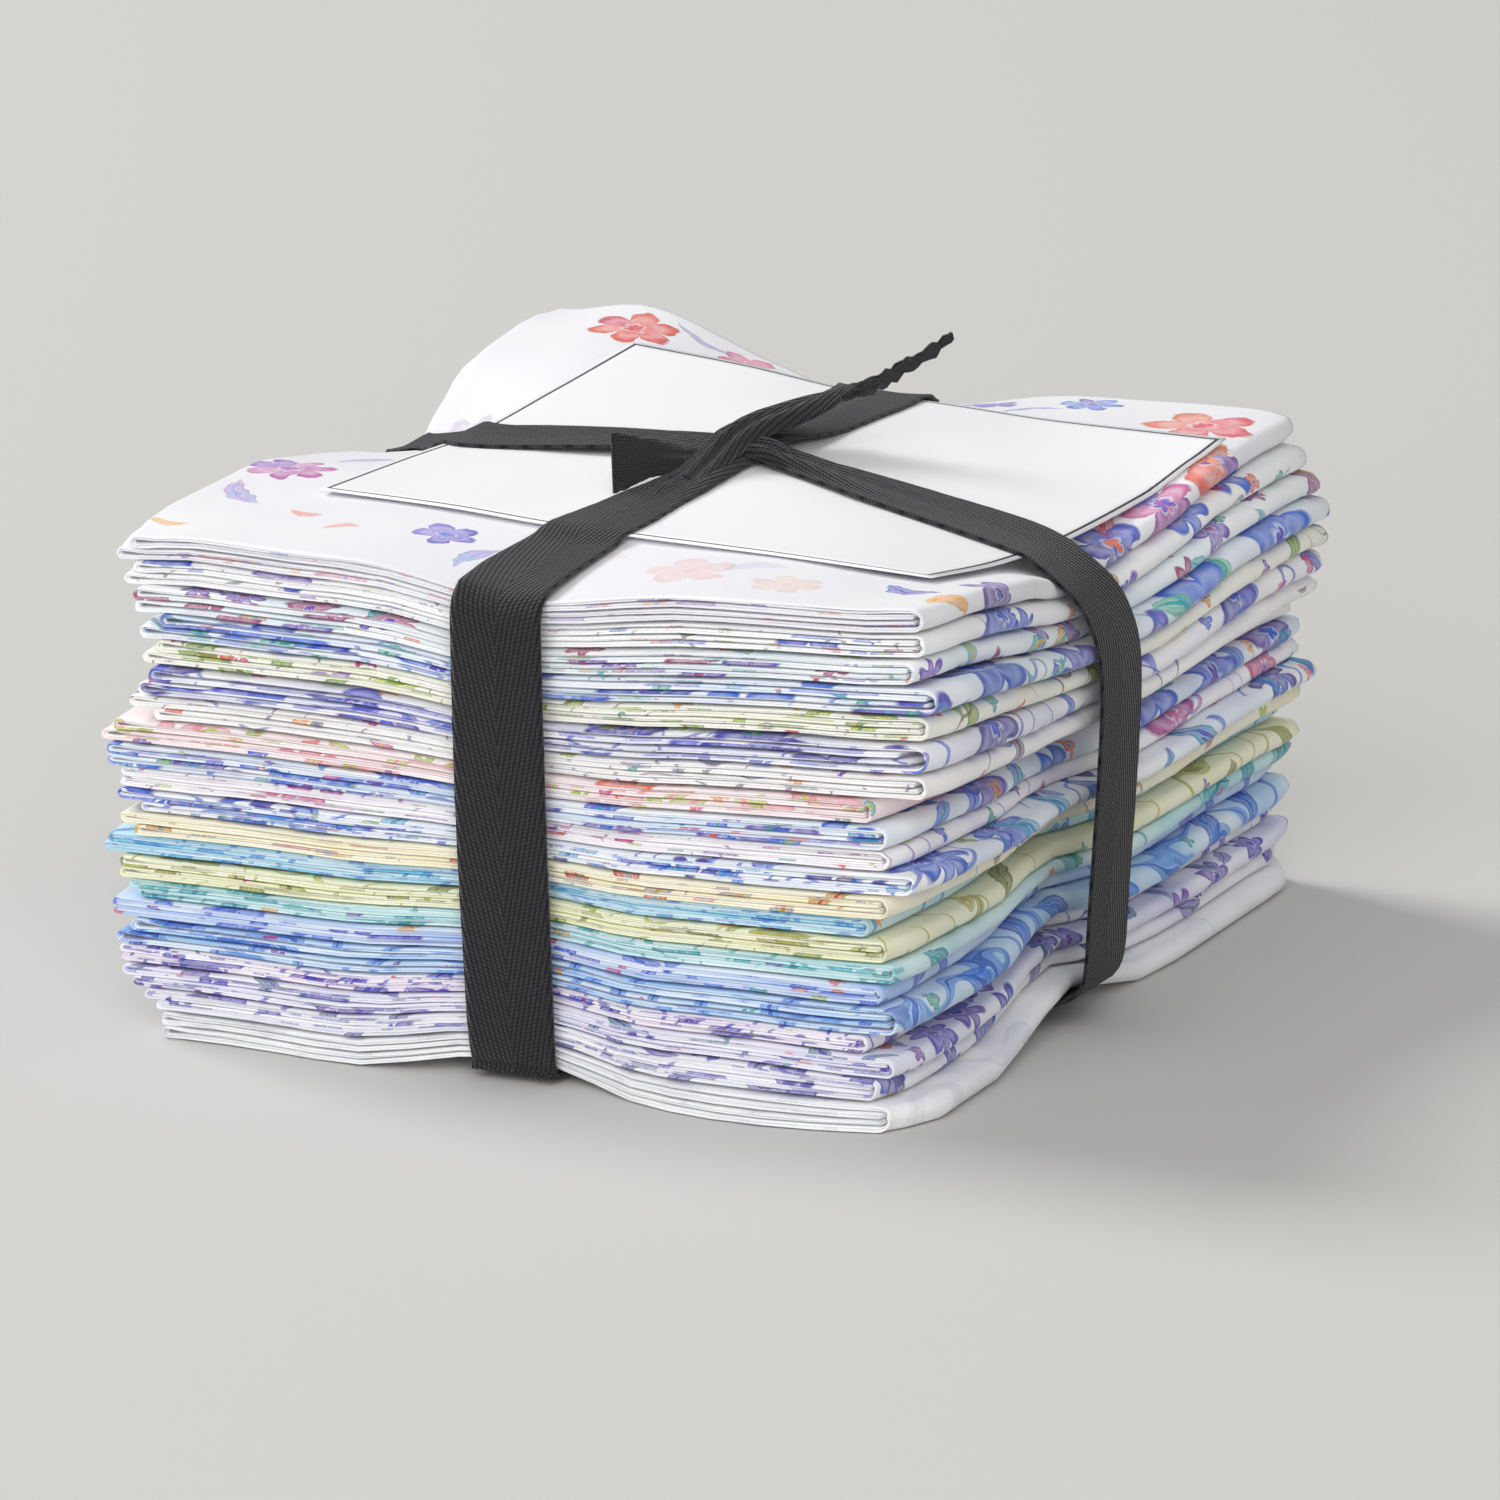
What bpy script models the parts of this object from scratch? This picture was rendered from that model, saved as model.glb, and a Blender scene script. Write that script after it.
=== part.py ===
"""Fat quarter bundle: twenty-one folded fat quarters tied both ways with one cotton tape.

X runs along the four-fold of each cloth: its closed fold is at +X and its two loops are at -X.
Y runs along the three-fold, so the layer ends show on the -Y and +Y faces. The bundle stands on
z = 0. Lengths are written in millimetres and become metres in put().
"""

import math
from collections import namedtuple

import bmesh
import bpy
from mathutils import Vector

MM = 0.001

# Each flat cut is 500 x 550 mm, and the folded size follows from it.
CUT_X = 550.0
CUT_Y = 500.0
FOLD_BULGE = 2.5
CRUSH = 0.625
WIDTH = CUT_X / 4 + FOLD_BULGE
DEPTH = CUT_Y / 3 - CRUSH

# One solid layer stands for the three plies of the three-fold.
LAYERS = 4
LAYER_GAP = 0.25
CLOTH_GAP = 0.3
RAW_END_INSET = 7.0
LOOP_STEPS = 3
FOLD_STEPS = 4

# The tape and the card
TAPE_THICK = 1.0
CARD_THICK = 0.5
CARD_CLEAR = 0.45
CARD_LIFT = 0.5
CARD_SIDE = 112.0
CARD_CENTRE = (8.0, -1.5)
CARD_TURN = math.radians(-4.5)

# Lines across the bundle. The tape presses it down along the tie lines and it swells between them.
WEST = -58.0
MID_WEST = -30.0
MID_EAST = 32.0
EAST = 54.0
TIE_CROSS = (6.0, -6.0)
TIE_SLANT = 0.46
NEAR_CREST = -45.0
FAR_CREST = 50.0

# Heights above the surface along each line, top face first, then the underside.
Line = namedtuple("Line", "name tie_x west mid_west tie mid_east east")
TOP = (
    Line("front edge", -2.0, 85.0, 84.5, 79.2, 84.0, 85.0),
    Line("near crest", 3.0, 86.0, 87.0, 86.2, 86.3, 85.5),
    Line("tie", 6.0, 76.6, 82.3, 87.3, 83.6, 76.8),
    Line("far crest", -1.5, 87.6, 87.6, 80.6, 84.2, 83.2),
    Line("back edge", -7.6, 89.6, 84.6, 76.4, 80.8, 82.8),
)
UNDERSIDE = (
    Line("front edge", -2.0, 0.0, 0.0, 3.0, 0.0, 0.0),
    Line("near crest", 3.0, 0.0, 0.0, 2.6, 0.0, 0.0),
    Line("tie", 6.0, 3.0, 3.4, 4.6, 3.4, 5.0),
    Line("far crest", -1.5, 0.0, 0.0, 2.6, 0.0, 0.0),
    Line("back edge", -7.6, 0.0, 0.0, 3.0, 0.0, 0.0),
)
ROWS = len(TOP)
FRONT_ROW = 0
TIE_ROW = 2
BACK_ROW = ROWS - 1

# The middle of the whole bundle's box, in the lengths of the tables: it becomes the origin.
MIDDLE = (0.9, -0.15, 0.0)

# How far the tape draws the four faces in, at the tie lines
FRONT_DRAW = 3.0
WEST_DRAW = 4.0
EAST_DRAW = 3.0

# From the top of the stack down. thick is the room a cloth takes; the other lengths say how far
# each end stands out of the block: its two loops, its closed fold at the front and back corners,
# and its layer ends on the front and back faces.
Quarter = namedtuple("Quarter", "thick loop_high loop_low fold_front fold_back front back colour")
QUARTERS = (
    Quarter(4.6, 0.4, 2.9, 4.0, -1.6, 0.4, 0.5, "F4F3F6"),
    Quarter(4.4, 0.2, 1.9, 4.1, 0.9, -0.6, -0.5, "E9EEF2"),
    Quarter(4.4, -1.1, -1.5, 2.6, 3.3, 0.6, 0.8, "BFDCE0"),
    Quarter(4.8, -6.4, -2.2, 6.6, 4.9, 0.0, 1.0, "C6D3EC"),
    Quarter(4.3, -5.3, -2.7, 4.9, 4.6, -0.8, 0.2, "ECE9DC"),
    Quarter(5.2, -4.4, -2.6, 4.9, 3.8, 0.5, -0.6, "A9A8DC"),
    Quarter(4.2, -0.4, -4.9, 4.6, 2.4, -0.4, 0.4, "EFEBEA"),
    Quarter(4.1, 2.7, 4.6, -5.1, -1.6, 0.3, -1.0, "F3E3E6"),
    Quarter(4.1, 3.6, 3.7, -2.6, -0.4, 0.8, 0.3, "CFDDF0"),
    Quarter(3.6, 1.7, 1.7, -2.4, -0.4, -0.5, 0.7, "F1ECF2"),
    Quarter(3.7, 1.9, -2.6, 2.6, 2.2, 0.2, 1.0, "E7EAF6"),
    Quarter(4.0, 1.5, -1.0, -2.2, 0.7, 0.7, 0.0, "F3EFDC"),
    Quarter(3.4, 4.2, 4.9, -6.4, -4.0, -0.7, -0.8, "9FCBE6"),
    Quarter(3.9, 1.4, 1.4, -2.0, -0.7, 0.4, 0.3, "DDE3B6"),
    Quarter(3.3, 0.0, -1.5, -0.7, -2.2, -0.2, 0.6, "9ED3D3"),
    Quarter(3.3, 3.3, 3.0, -3.3, -5.0, 0.6, -0.7, "8E9BD8"),
    Quarter(5.0, -1.1, 1.5, 0.7, -1.8, 0.9, 0.4, "A6C8EC"),
    Quarter(3.2, 1.9, 1.5, -6.0, -5.0, 0.0, -0.3, "D9C6D6"),
    Quarter(3.7, 1.0, -0.7, -0.4, -2.0, 0.8, 0.5, "B9AEDD"),
    Quarter(3.5, -2.0, -4.6, -2.0, -3.0, 1.1, 0.2, "E3E2EA"),
    Quarter(4.6, -5.0, -5.5, 3.5, -0.5, 1.4, 0.8, "F2F1F3"),
)
STACK = sum(quarter.thick for quarter in QUARTERS)

# The tape's route, by its middle: half is half its width there, and rise is how far its two edges
# stand above its middle, where it lies in the hollow that it presses.
Stop = namedtuple("Stop", "x y z half rise")
LONG_WAY = (
    Stop(8.0, -8.0, 92.2, 3.0, 0.0),
    Stop(7.0, -14.0, 91.2, 4.0, 0.3),
    Stop(5.0, -29.0, 89.4, 5.5, 0.8),
    Stop(3.0, -45.0, 88.7, 7.0, 0.7),
    Stop(1.5, -58.5, 86.8, 8.0, 0.8),
    Stop(-0.2, -67.0, 83.4, 8.0, 1.1),
    Stop(-1.3, -76.0, 81.5, 8.0, 1.5),
    Stop(-2.0, -81.3, 80.4, 8.0, 1.5),
    Stop(-2.1, -83.0, 78.6, 8.0, 0.6),
    Stop(-2.0, -83.6, 72.0, 8.0, 0.0),
    Stop(-1.6, -83.8, 45.0, 8.0, 0.0),
    Stop(-0.8, -83.8, 18.0, 7.6, 0.0),
    Stop(-0.4, -84.1, 6.0, 7.4, 0.0),
    Stop(-0.2, -83.4, 2.4, 7.2, 0.0),
    Stop(0.0, -81.2, 0.9, 7.2, 0.0),
    Stop(3.0, -45.0, 0.8, 7.6, 0.0),
    Stop(6.0, -6.0, 0.8, 7.6, 0.0),
    Stop(-1.5, 50.0, 0.8, 7.6, 0.0),
    Stop(-7.2, 81.0, 0.9, 7.2, 0.0),
    Stop(-7.6, 83.2, 2.4, 7.2, 0.0),
    Stop(-7.6, 83.8, 6.0, 7.6, 0.0),
    Stop(-7.6, 83.6, 24.0, 8.0, 0.0),
    Stop(-7.6, 83.6, 52.0, 8.0, 0.0),
    Stop(-7.6, 83.2, 70.0, 8.0, 0.0),
    Stop(-7.6, 82.8, 75.8, 7.2, 2.2),
    Stop(-7.5, 80.8, 78.0, 7.0, 3.2),
    Stop(-5.8, 70.0, 79.2, 7.0, 2.6),
    Stop(-2.6, 57.5, 82.6, 7.0, 1.6),
    Stop(-0.4, 44.0, 83.8, 6.4, 0.8),
    Stop(2.6, 20.0, 86.1, 6.0, 0.5),
    Stop(6.0, 6.0, 89.6, 5.0, 0.4),
    Stop(9.0, -2.0, 92.2, 3.0, 0.0),
)
CROSS_WAY = (
    Stop(5.0, -5.5, 92.2, 3.0, 0.0),
    Stop(-1.0, -3.2, 90.0, 4.0, 0.3),
    Stop(-9.0, 0.5, 87.4, 5.0, 0.4),
    Stop(-18.0, 4.4, 86.0, 6.0, 0.6),
    Stop(-30.0, 9.6, 84.2, 7.0, 1.1),
    Stop(-40.0, 14.0, 82.6, 8.0, 1.7),
    Stop(-49.0, 17.9, 81.0, 8.6, 2.6),
    Stop(-58.0, 22.6, 77.8, 8.6, 3.4),
    Stop(-67.0, 24.2, 77.7, 8.4, 3.6),
    Stop(-71.2, 24.6, 76.5, 8.4, 2.6),
    Stop(-73.0, 24.8, 73.0, 8.2, 0.6),
    Stop(-73.8, 25.0, 50.0, 8.0, 0.0),
    Stop(-73.8, 25.0, 24.0, 8.0, 0.0),
    Stop(-72.8, 24.8, 8.0, 7.6, 0.0),
    Stop(-71.0, 24.6, 3.0, 7.4, 0.0),
    Stop(-68.4, 24.2, 1.2, 7.4, 0.0),
    Stop(-58.0, 23.0, 0.9, 7.6, 0.0),
    Stop(-30.0, 10.6, 0.9, 7.6, 0.0),
    Stop(-12.0, 1.8, 1.3, 7.4, 0.0),
    Stop(-4.0, -1.7, 2.1, 7.2, 0.0),
    Stop(6.0, -6.0, 2.1, 7.0, 0.0),
    Stop(16.0, -6.0, 2.1, 7.2, 0.0),
    Stop(24.0, -6.0, 1.3, 7.4, 0.0),
    Stop(54.0, -6.4, 0.9, 7.4, 0.0),
    Stop(68.0, -8.6, 1.1, 7.4, 0.0),
    Stop(72.6, -10.6, 2.8, 7.6, 0.0),
    Stop(73.8, -11.4, 7.0, 8.0, 0.0),
    Stop(74.2, -8.6, 17.0, 8.0, 0.0),
    Stop(74.6, -3.2, 36.0, 8.0, 0.0),
    Stop(74.6, -2.6, 54.0, 8.0, 0.0),
    Stop(74.2, -4.2, 70.0, 8.0, 0.4),
    Stop(72.8, -5.2, 75.8, 8.0, 1.4),
    Stop(69.4, -5.8, 77.5, 8.0, 2.0),
    Stop(64.8, -6.0, 79.0, 8.0, 2.0),
    Stop(54.0, -6.0, 81.0, 8.0, 1.5),
    Stop(43.0, -6.0, 83.3, 7.0, 1.0),
    Stop(32.0, -6.0, 85.5, 6.0, 0.6),
    Stop(22.0, -6.0, 88.0, 5.0, 0.4),
    Stop(14.0, -6.0, 92.0, 3.0, 0.0),
)

# The two free ends: half is half the tape's width as it is bunched, and roll turns the tape on edge.
End = namedtuple("End", "x y z half roll")
SHORT_END = (
    End(8.0, -8.0, 92.4, 2.6, 30.0),
    End(3.0, -15.0, 92.2, 3.0, 45.0),
    End(-0.6, -22.0, 91.9, 3.4, 58.0),
    End(-3.4, -29.0, 92.2, 5.0, 66.0),
    End(-5.2, -36.0, 92.6, 6.0, 66.0),
)
LONG_END = (
    End(9.0, -3.0, 93.4, 3.4, 0.0),
    End(14.0, 4.0, 95.6, 4.0, -8.0),
    End(18.0, 10.0, 97.6, 4.0, -12.0),
    End(22.0, 14.4, 99.8, 3.2, -10.0),
    End(26.0, 18.4, 102.0, 2.4, -6.0),
    End(30.2, 23.6, 104.2, 1.2, 0.0),
)
END_THICK = 1.1

# The knot: a pressed core with two turns of the bunched tape over it
CORE_CENTRE = (10.0, -5.5, 93.0)
CORE_HALF = (13.0, 9.5, 4.2)
CORE_TURN = math.radians(28.0)
TURN_RADIUS = 3.1
FIRST_TURN = (
    (2.0, -20.0, 91.6),
    (5.0, -14.0, 94.0),
    (8.5, -8.0, 96.0),
    (12.0, -1.5, 95.6),
    (14.0, 5.0, 92.4),
)
SECOND_TURN = (
    (9.0, -14.0, 92.0),
    (15.0, -9.0, 95.0),
    (21.0, -4.5, 95.6),
    (25.0, 1.0, 93.0),
    (22.0, 8.0, 91.4),
)

TAPE_COLOUR = "232326"
CARD_COLOUR = "F5F5F7"


def put(point):
    """A point of the tables, in metres from the middle of the bundle's box."""
    return (Vector(point) - Vector(MIDDLE)) * MM


def linear(colour):
    """A colour written as on a paint chart, as the renderer's numbers."""
    made = []
    for i in (0, 2, 4):
        part = int(colour[i : i + 2], 16) / 255
        made.append(part / 12.92 if part <= 0.04045 else ((part + 0.055) / 1.055) ** 2.4)
    return made + [1.0]


def material(name, colour, roughness):
    made = bpy.data.materials.new(name)
    made.use_nodes = True
    shader = made.node_tree.nodes["Principled BSDF"]
    shader.inputs["Base Color"].default_value = linear(colour)
    shader.inputs["Roughness"].default_value = roughness
    shader.inputs["Metallic"].default_value = 0.0
    return made


def clear_scene():
    for item in list(bpy.data.objects):
        bpy.data.objects.remove(item, do_unlink=True)


def new_collection(name):
    made = bpy.data.collections.new(name)
    bpy.context.scene.collection.children.link(made)
    return made


def between(low, high, share):
    return low + (high - low) * share


def stations(line):
    """Where the lines along Y cross one line along X, west to east."""
    return (WEST, MID_WEST, line.tie_x, MID_EAST, EAST)


def along(values, line, x):
    """A quantity given at a line's five stations, read at x. It is level past the outer two."""
    places = stations(line)
    x = min(max(x, places[0]), places[-1])
    for i in range(len(places) - 1):
        if x <= places[i + 1]:
            return between(values[i], values[i + 1], (x - places[i]) / (places[i + 1] - places[i]))
    return values[-1]


def height(table, row, x):
    line = table[row]
    return along((line.west, line.mid_west, line.tie, line.mid_east, line.east), line, x)


def row_y(row, x):
    """The y of a row of the bundle: the edges and crests are straight, and the tie line bends at the knot."""
    if row == TIE_ROW:
        return TIE_CROSS[1] + TIE_SLANT * max(TIE_CROSS[0] - max(x, WEST), 0.0)
    return (-DEPTH / 2, NEAR_CREST, 0.0, FAR_CREST, DEPTH / 2)[row]


def pressed(x, z, row, front=0.0, back=0.0):
    """Where a point of the straight stack lies once the tape has pressed it."""
    share = z / (STACK - CLOTH_GAP)
    low = height(UNDERSIDE, row, x)
    high = height(TOP, row, x)
    y = row_y(row, x)
    tied = along((0.0, 0.0, 1.0, 0.0, 0.0), TOP[row], x)
    if row == FRONT_ROW:
        y += FRONT_DRAW * tied - front
    if row == BACK_ROW:
        y += back - FRONT_DRAW * tied
    if row == TIE_ROW and x < WEST:
        x += WEST_DRAW * min((WEST - x) / (WIDTH / 2 + WEST), 1.0)
    if row == TIE_ROW and x > EAST:
        x -= EAST_DRAW * min((x - EAST) / (WIDTH / 2 - EAST), 1.0)
    return (x, y, between(low, high, share))


def arc(centre, radius, start, end, steps):
    """Points inside an arc in the X-Z plane, by angle in degrees, without its two ends."""
    angles = [math.radians(between(start, end, i / steps)) for i in range(1, steps)]
    return [(centre[0] + radius * math.cos(a), centre[1] + radius * math.sin(a)) for a in angles]


def run(row, start, end, z):
    """One layer of cloth from start to end, with a point at each station."""
    inner = list(stations(TOP[row]))
    if start > end:
        inner.reverse()
    return [(start, z)] + [(x, z) for x in inner] + [(end, z)]


def fold_section(quarter, floor, row):
    """The middle line of a folded cloth at one row, from one raw end inside the fold to the other.

    It runs west under the top layer, round the upper loop, east along the top, down round the
    closed fold, west along the bottom, round the lower loop and east again.
    """
    cloth = (quarter.thick - CLOTH_GAP - (LAYERS - 1) * LAYER_GAP) / LAYERS
    pitch = cloth + LAYER_GAP
    level = [floor + cloth / 2 + i * pitch for i in range(LAYERS)]
    fold_tip = WIDTH / 2 + between(quarter.fold_front, quarter.fold_back, row / BACK_ROW)
    fold_radius = pitch * (LAYERS - 1) / 2
    fold_x = fold_tip - cloth / 2 - fold_radius
    raw_x = fold_tip - RAW_END_INSET
    loop_radius = pitch / 2
    high_x = -WIDTH / 2 - quarter.loop_high + cloth / 2 + loop_radius
    low_x = -WIDTH / 2 - quarter.loop_low + cloth / 2 + loop_radius
    points = run(row, raw_x, high_x, level[2])
    points += arc((high_x, level[2] + loop_radius), loop_radius, 270, 90, LOOP_STEPS)
    points += run(row, high_x, fold_x, level[3])
    points += arc((fold_x, level[0] + fold_radius), fold_radius, 90, -90, FOLD_STEPS)
    points += run(row, fold_x, low_x, level[0])
    points += arc((low_x, level[0] + loop_radius), loop_radius, 270, 90, LOOP_STEPS)
    points += run(row, low_x, raw_x, level[1])
    return points, cloth


def split_quads(bm, eastward):
    """Cuts every quad along the same diagonal of the bundle, so that layers stay nested."""
    for method, wanted in (("FIXED", True), ("ALTERNATE", False)):
        faces = [f for f in bm.faces if len(f.verts) == 4 and eastward(f) == wanted]
        if faces:
            bmesh.ops.triangulate(bm, faces=faces, quad_method=method)


def evaluated(obj):
    """A copy of an object's mesh with its modifiers applied."""
    graph = bpy.context.evaluated_depsgraph_get()
    return bpy.data.meshes.new_from_object(obj.evaluated_get(graph))


def thickened(name, bm, thick):
    """A closed mesh: the open surface in bm given its thickness, half to each side."""
    sheet = bpy.data.meshes.new(name)
    bm.to_mesh(sheet)
    bm.free()
    holder = bpy.data.objects.new(name + "_sheet", sheet)
    bpy.context.scene.collection.objects.link(holder)
    solid = holder.modifiers.new("thickness", "SOLIDIFY")
    solid.thickness = thick
    solid.offset = 0.0
    solid.use_even_offset = True
    made = evaluated(holder)
    bpy.data.objects.remove(holder, do_unlink=True)
    made.name = name
    return made


def grid(columns, rows):
    """A unit grid and a function that gives a vertex its column and row."""
    bm = bmesh.new()
    bmesh.ops.create_grid(bm, x_segments=columns - 1, y_segments=rows - 1, size=0.5)

    def cell(vert):
        return (round((vert.co.x + 0.5) * (columns - 1)), round((vert.co.y + 0.5) * (rows - 1)))

    return bm, cell


def finish(obj, mesh_material, collection):
    obj.data.materials.clear()
    obj.data.materials.append(mesh_material)
    obj.data.shade_smooth()
    obj.data.set_sharp_from_angle(angle=math.radians(40))
    collection.objects.link(obj)


def fat_quarter(number, quarter, floor, collection):
    """One folded cloth: an open grid on the fold's section, made thick, then pressed by the tape."""
    name = f"fat_quarter_{number:02d}"
    sections = [fold_section(quarter, floor, row)[0] for row in range(ROWS)]
    cloth = fold_section(quarter, floor, 0)[1]
    columns = len(sections[0])
    bm, cell = grid(columns, ROWS)
    places = {vert: cell(vert) for vert in bm.verts}
    for vert, (column, row) in places.items():
        x, z = sections[row][column]
        vert.co = (x, row * DEPTH, z)

    def eastward(face):
        first = min(face.verts, key=lambda vert: places[vert][0])
        last = max(face.verts, key=lambda vert: places[vert][0])
        return last.co.x > first.co.x

    split_quads(bm, eastward)
    bmesh.ops.recalc_face_normals(bm, faces=bm.faces)
    mesh = thickened(name, bm, cloth)
    for vert in mesh.vertices:
        row = round(vert.co.y / DEPTH)
        vert.co = put(pressed(vert.co.x, vert.co.z, row, quarter.front, quarter.back))
    obj = bpy.data.objects.new(name, mesh)
    finish(obj, material(f"cotton print {number:02d}", quarter.colour, 0.9), collection)
    return obj


def card_sheet(collection):
    """The card, lying on the top cloth and bent as it is. Its grid has a line wherever the cloth bends."""
    half = CARD_SIDE / 2
    slope = math.tan(CARD_TURN)
    south = CARD_CENTRE[1] - half
    north = CARD_CENTRE[1] + half
    bm, cell = grid(ROWS, ROWS)
    for vert in bm.verts:
        column, row = cell(vert)
        inner_row = min(max(row, FRONT_ROW + 1), BACK_ROW - 1)
        edge_y = {FRONT_ROW: south, BACK_ROW: north}.get(row)
        y = row_y(inner_row, 0.0) if edge_y is None else edge_y
        shift = (y - CARD_CENTRE[1]) * -slope
        west = CARD_CENTRE[0] - half + shift
        east = CARD_CENTRE[0] + half + shift
        tie_x = between_rows(lambda r, x: TOP[r].tie_x, 0.0, y)
        x = (west, MID_WEST, tie_x, MID_EAST, east)[column]
        y = row_y(inner_row, x) if edge_y is None else edge_y + (x - CARD_CENTRE[0]) * slope
        z = between_rows(lambda r, at: height(TOP, r, at), x, y) + CARD_CLEAR + CARD_THICK / 2
        on_rim = column in (0, BACK_ROW) or row in (FRONT_ROW, BACK_ROW)
        vert.co = (x, y, z + CARD_LIFT if on_rim else z)
    split_quads(bm, lambda face: True)
    bmesh.ops.recalc_face_normals(bm, faces=bm.faces)
    mesh = thickened("label_card", bm, CARD_THICK)
    for vert in mesh.vertices:
        vert.co = put(vert.co)
    obj = bpy.data.objects.new("label_card", mesh)
    finish(obj, material("card", CARD_COLOUR, 0.6), collection)
    return obj


def between_rows(value, x, y):
    """A quantity known on the rows, value(row, x), read at any x and y."""
    for row in range(ROWS - 1):
        low = row_y(row, x)
        high = row_y(row + 1, x)
        if y <= high or row == ROWS - 2:
            return between(value(row, x), value(row + 1, x), (y - low) / (high - low))


def ribbon(name, stops, across, thick):
    """A closed strip along stops; across(i) is its half-width vector and the rise of its edges there."""
    bm, cell = grid(len(stops), 3)
    for vert in bm.verts:
        i, side = cell(vert)
        stop = stops[i]
        half_width, rise = across(i)
        lift = rise if side != 1 else 0.0
        vert.co = Vector((stop.x, stop.y, stop.z + lift)) + half_width * (side - 1)
    bmesh.ops.recalc_face_normals(bm, faces=bm.faces)
    mesh = thickened(name, bm, thick)
    for vert in mesh.vertices:
        vert.co = put(vert.co)
    return bpy.data.objects.new(name, mesh)


def end_ribbon(name, stops):
    """A free end: the tape turned about its own run by each stop's roll."""

    def across(i):
        before = stops[max(i - 1, 0)]
        after = stops[min(i + 1, len(stops) - 1)]
        heading = Vector((after.x - before.x, after.y - before.y, after.z - before.z)).normalized()
        side = heading.cross(Vector((0.0, 0.0, 1.0))).normalized()
        up = side.cross(heading)
        angle = math.radians(stops[i].roll)
        return (side * math.cos(angle) + up * math.sin(angle)) * stops[i].half, 0.0

    return ribbon(name, stops, across, END_THICK)


def knot_core(name):
    mesh = bpy.data.meshes.new(name)
    bm = bmesh.new()
    bmesh.ops.create_uvsphere(bm, u_segments=12, v_segments=8, radius=1.0)
    turn = Vector((math.cos(CORE_TURN), math.sin(CORE_TURN), 0.0))
    sideways = Vector((-turn.y, turn.x, 0.0))
    for vert in bm.verts:
        x, y, z = (vert.co.x * CORE_HALF[0], vert.co.y * CORE_HALF[1], vert.co.z * CORE_HALF[2])
        vert.co = put(Vector(CORE_CENTRE) + turn * x + sideways * y + Vector((0.0, 0.0, z)))
    bm.to_mesh(mesh)
    bm.free()
    return bpy.data.objects.new(name, mesh)


def knot_turn(name, points):
    """One bunched turn of the tape over the knot: a tube, made a mesh so that it can be joined."""
    curve = bpy.data.curves.new(name, "CURVE")
    curve.dimensions = "3D"
    curve.bevel_depth = TURN_RADIUS * MM
    curve.bevel_resolution = 2
    curve.use_fill_caps = True
    spline = curve.splines.new("POLY")
    spline.points.add(len(points) - 1)
    for spot, point in zip(spline.points, points):
        spot.co = (*put(point), 1.0)
    holder = bpy.data.objects.new(name, curve)
    bpy.context.scene.collection.objects.link(holder)
    mesh = evaluated(holder)
    bpy.data.objects.remove(holder, do_unlink=True)
    bm = bmesh.new()
    bm.from_mesh(mesh)
    bmesh.ops.remove_doubles(bm, verts=bm.verts, dist=0.00001)
    bmesh.ops.recalc_face_normals(bm, faces=bm.faces)
    bm.to_mesh(mesh)
    bm.free()
    return bpy.data.objects.new(name, mesh)


def tie_tape(collection, cutters):
    """The tape as one solid: its two ways round the stack, the knot and the two free ends, joined."""

    def along_x(stops):
        return lambda i: (Vector((stops[i].half, 0.0, 0.0)), stops[i].rise)

    def along_y(stops):
        return lambda i: (Vector((0.0, stops[i].half, 0.0)), stops[i].rise)

    tape = ribbon("tie_tape", LONG_WAY, along_x(LONG_WAY), TAPE_THICK)
    joined = [
        ribbon("cross_way", CROSS_WAY, along_y(CROSS_WAY), TAPE_THICK),
        knot_core("knot_core"),
        knot_turn("first_turn", FIRST_TURN),
        knot_turn("second_turn", SECOND_TURN),
        end_ribbon("short_end", SHORT_END),
        end_ribbon("long_end", LONG_END),
    ]
    for other in joined:
        cutters.objects.link(other)
        other.hide_render = True
        other.display_type = "WIRE"
        union = tape.modifiers.new(other.name, "BOOLEAN")
        union.operation = "UNION"
        union.solver = "EXACT"
        union.object = other
    finish(tape, material("black cotton tape", TAPE_COLOUR, 0.85), collection)
    return tape


def build():
    clear_scene()
    bundle = new_collection("fat quarter bundle")
    cutters = new_collection("joined pieces")
    floor = STACK
    for number, quarter in enumerate(QUARTERS, start=1):
        floor -= quarter.thick
        fat_quarter(number, quarter, floor, bundle)
    card_sheet(bundle)
    tie_tape(bundle, cutters)


build()
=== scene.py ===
# Fat quarter bundle: the cloths, their prints, the tape and the card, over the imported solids.
# Lengths in the tables are millimetres, in the frame of the bundle before its box is centred.
import math
from functools import lru_cache, partial

import bmesh
import bpy
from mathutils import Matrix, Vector, noise


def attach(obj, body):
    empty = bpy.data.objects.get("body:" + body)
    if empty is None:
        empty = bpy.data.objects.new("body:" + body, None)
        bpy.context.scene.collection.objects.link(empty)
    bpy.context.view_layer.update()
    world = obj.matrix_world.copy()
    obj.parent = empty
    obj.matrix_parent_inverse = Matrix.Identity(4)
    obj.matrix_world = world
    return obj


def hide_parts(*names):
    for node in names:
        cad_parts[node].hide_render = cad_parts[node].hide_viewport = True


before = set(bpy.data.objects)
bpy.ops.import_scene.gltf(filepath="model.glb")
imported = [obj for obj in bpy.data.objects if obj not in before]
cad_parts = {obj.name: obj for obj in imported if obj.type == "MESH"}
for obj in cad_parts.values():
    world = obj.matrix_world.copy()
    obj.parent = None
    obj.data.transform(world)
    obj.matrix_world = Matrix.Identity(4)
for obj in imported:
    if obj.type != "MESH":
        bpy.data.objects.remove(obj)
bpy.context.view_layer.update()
print("frame loaded:", len(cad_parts), "nodes")

mm = 0.001
middle = Vector((0.9, -0.15, 0.0))  # the middle of the bundle's box becomes the origin


def toScene(point):
    return (Vector(point) - middle) * mm


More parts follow.
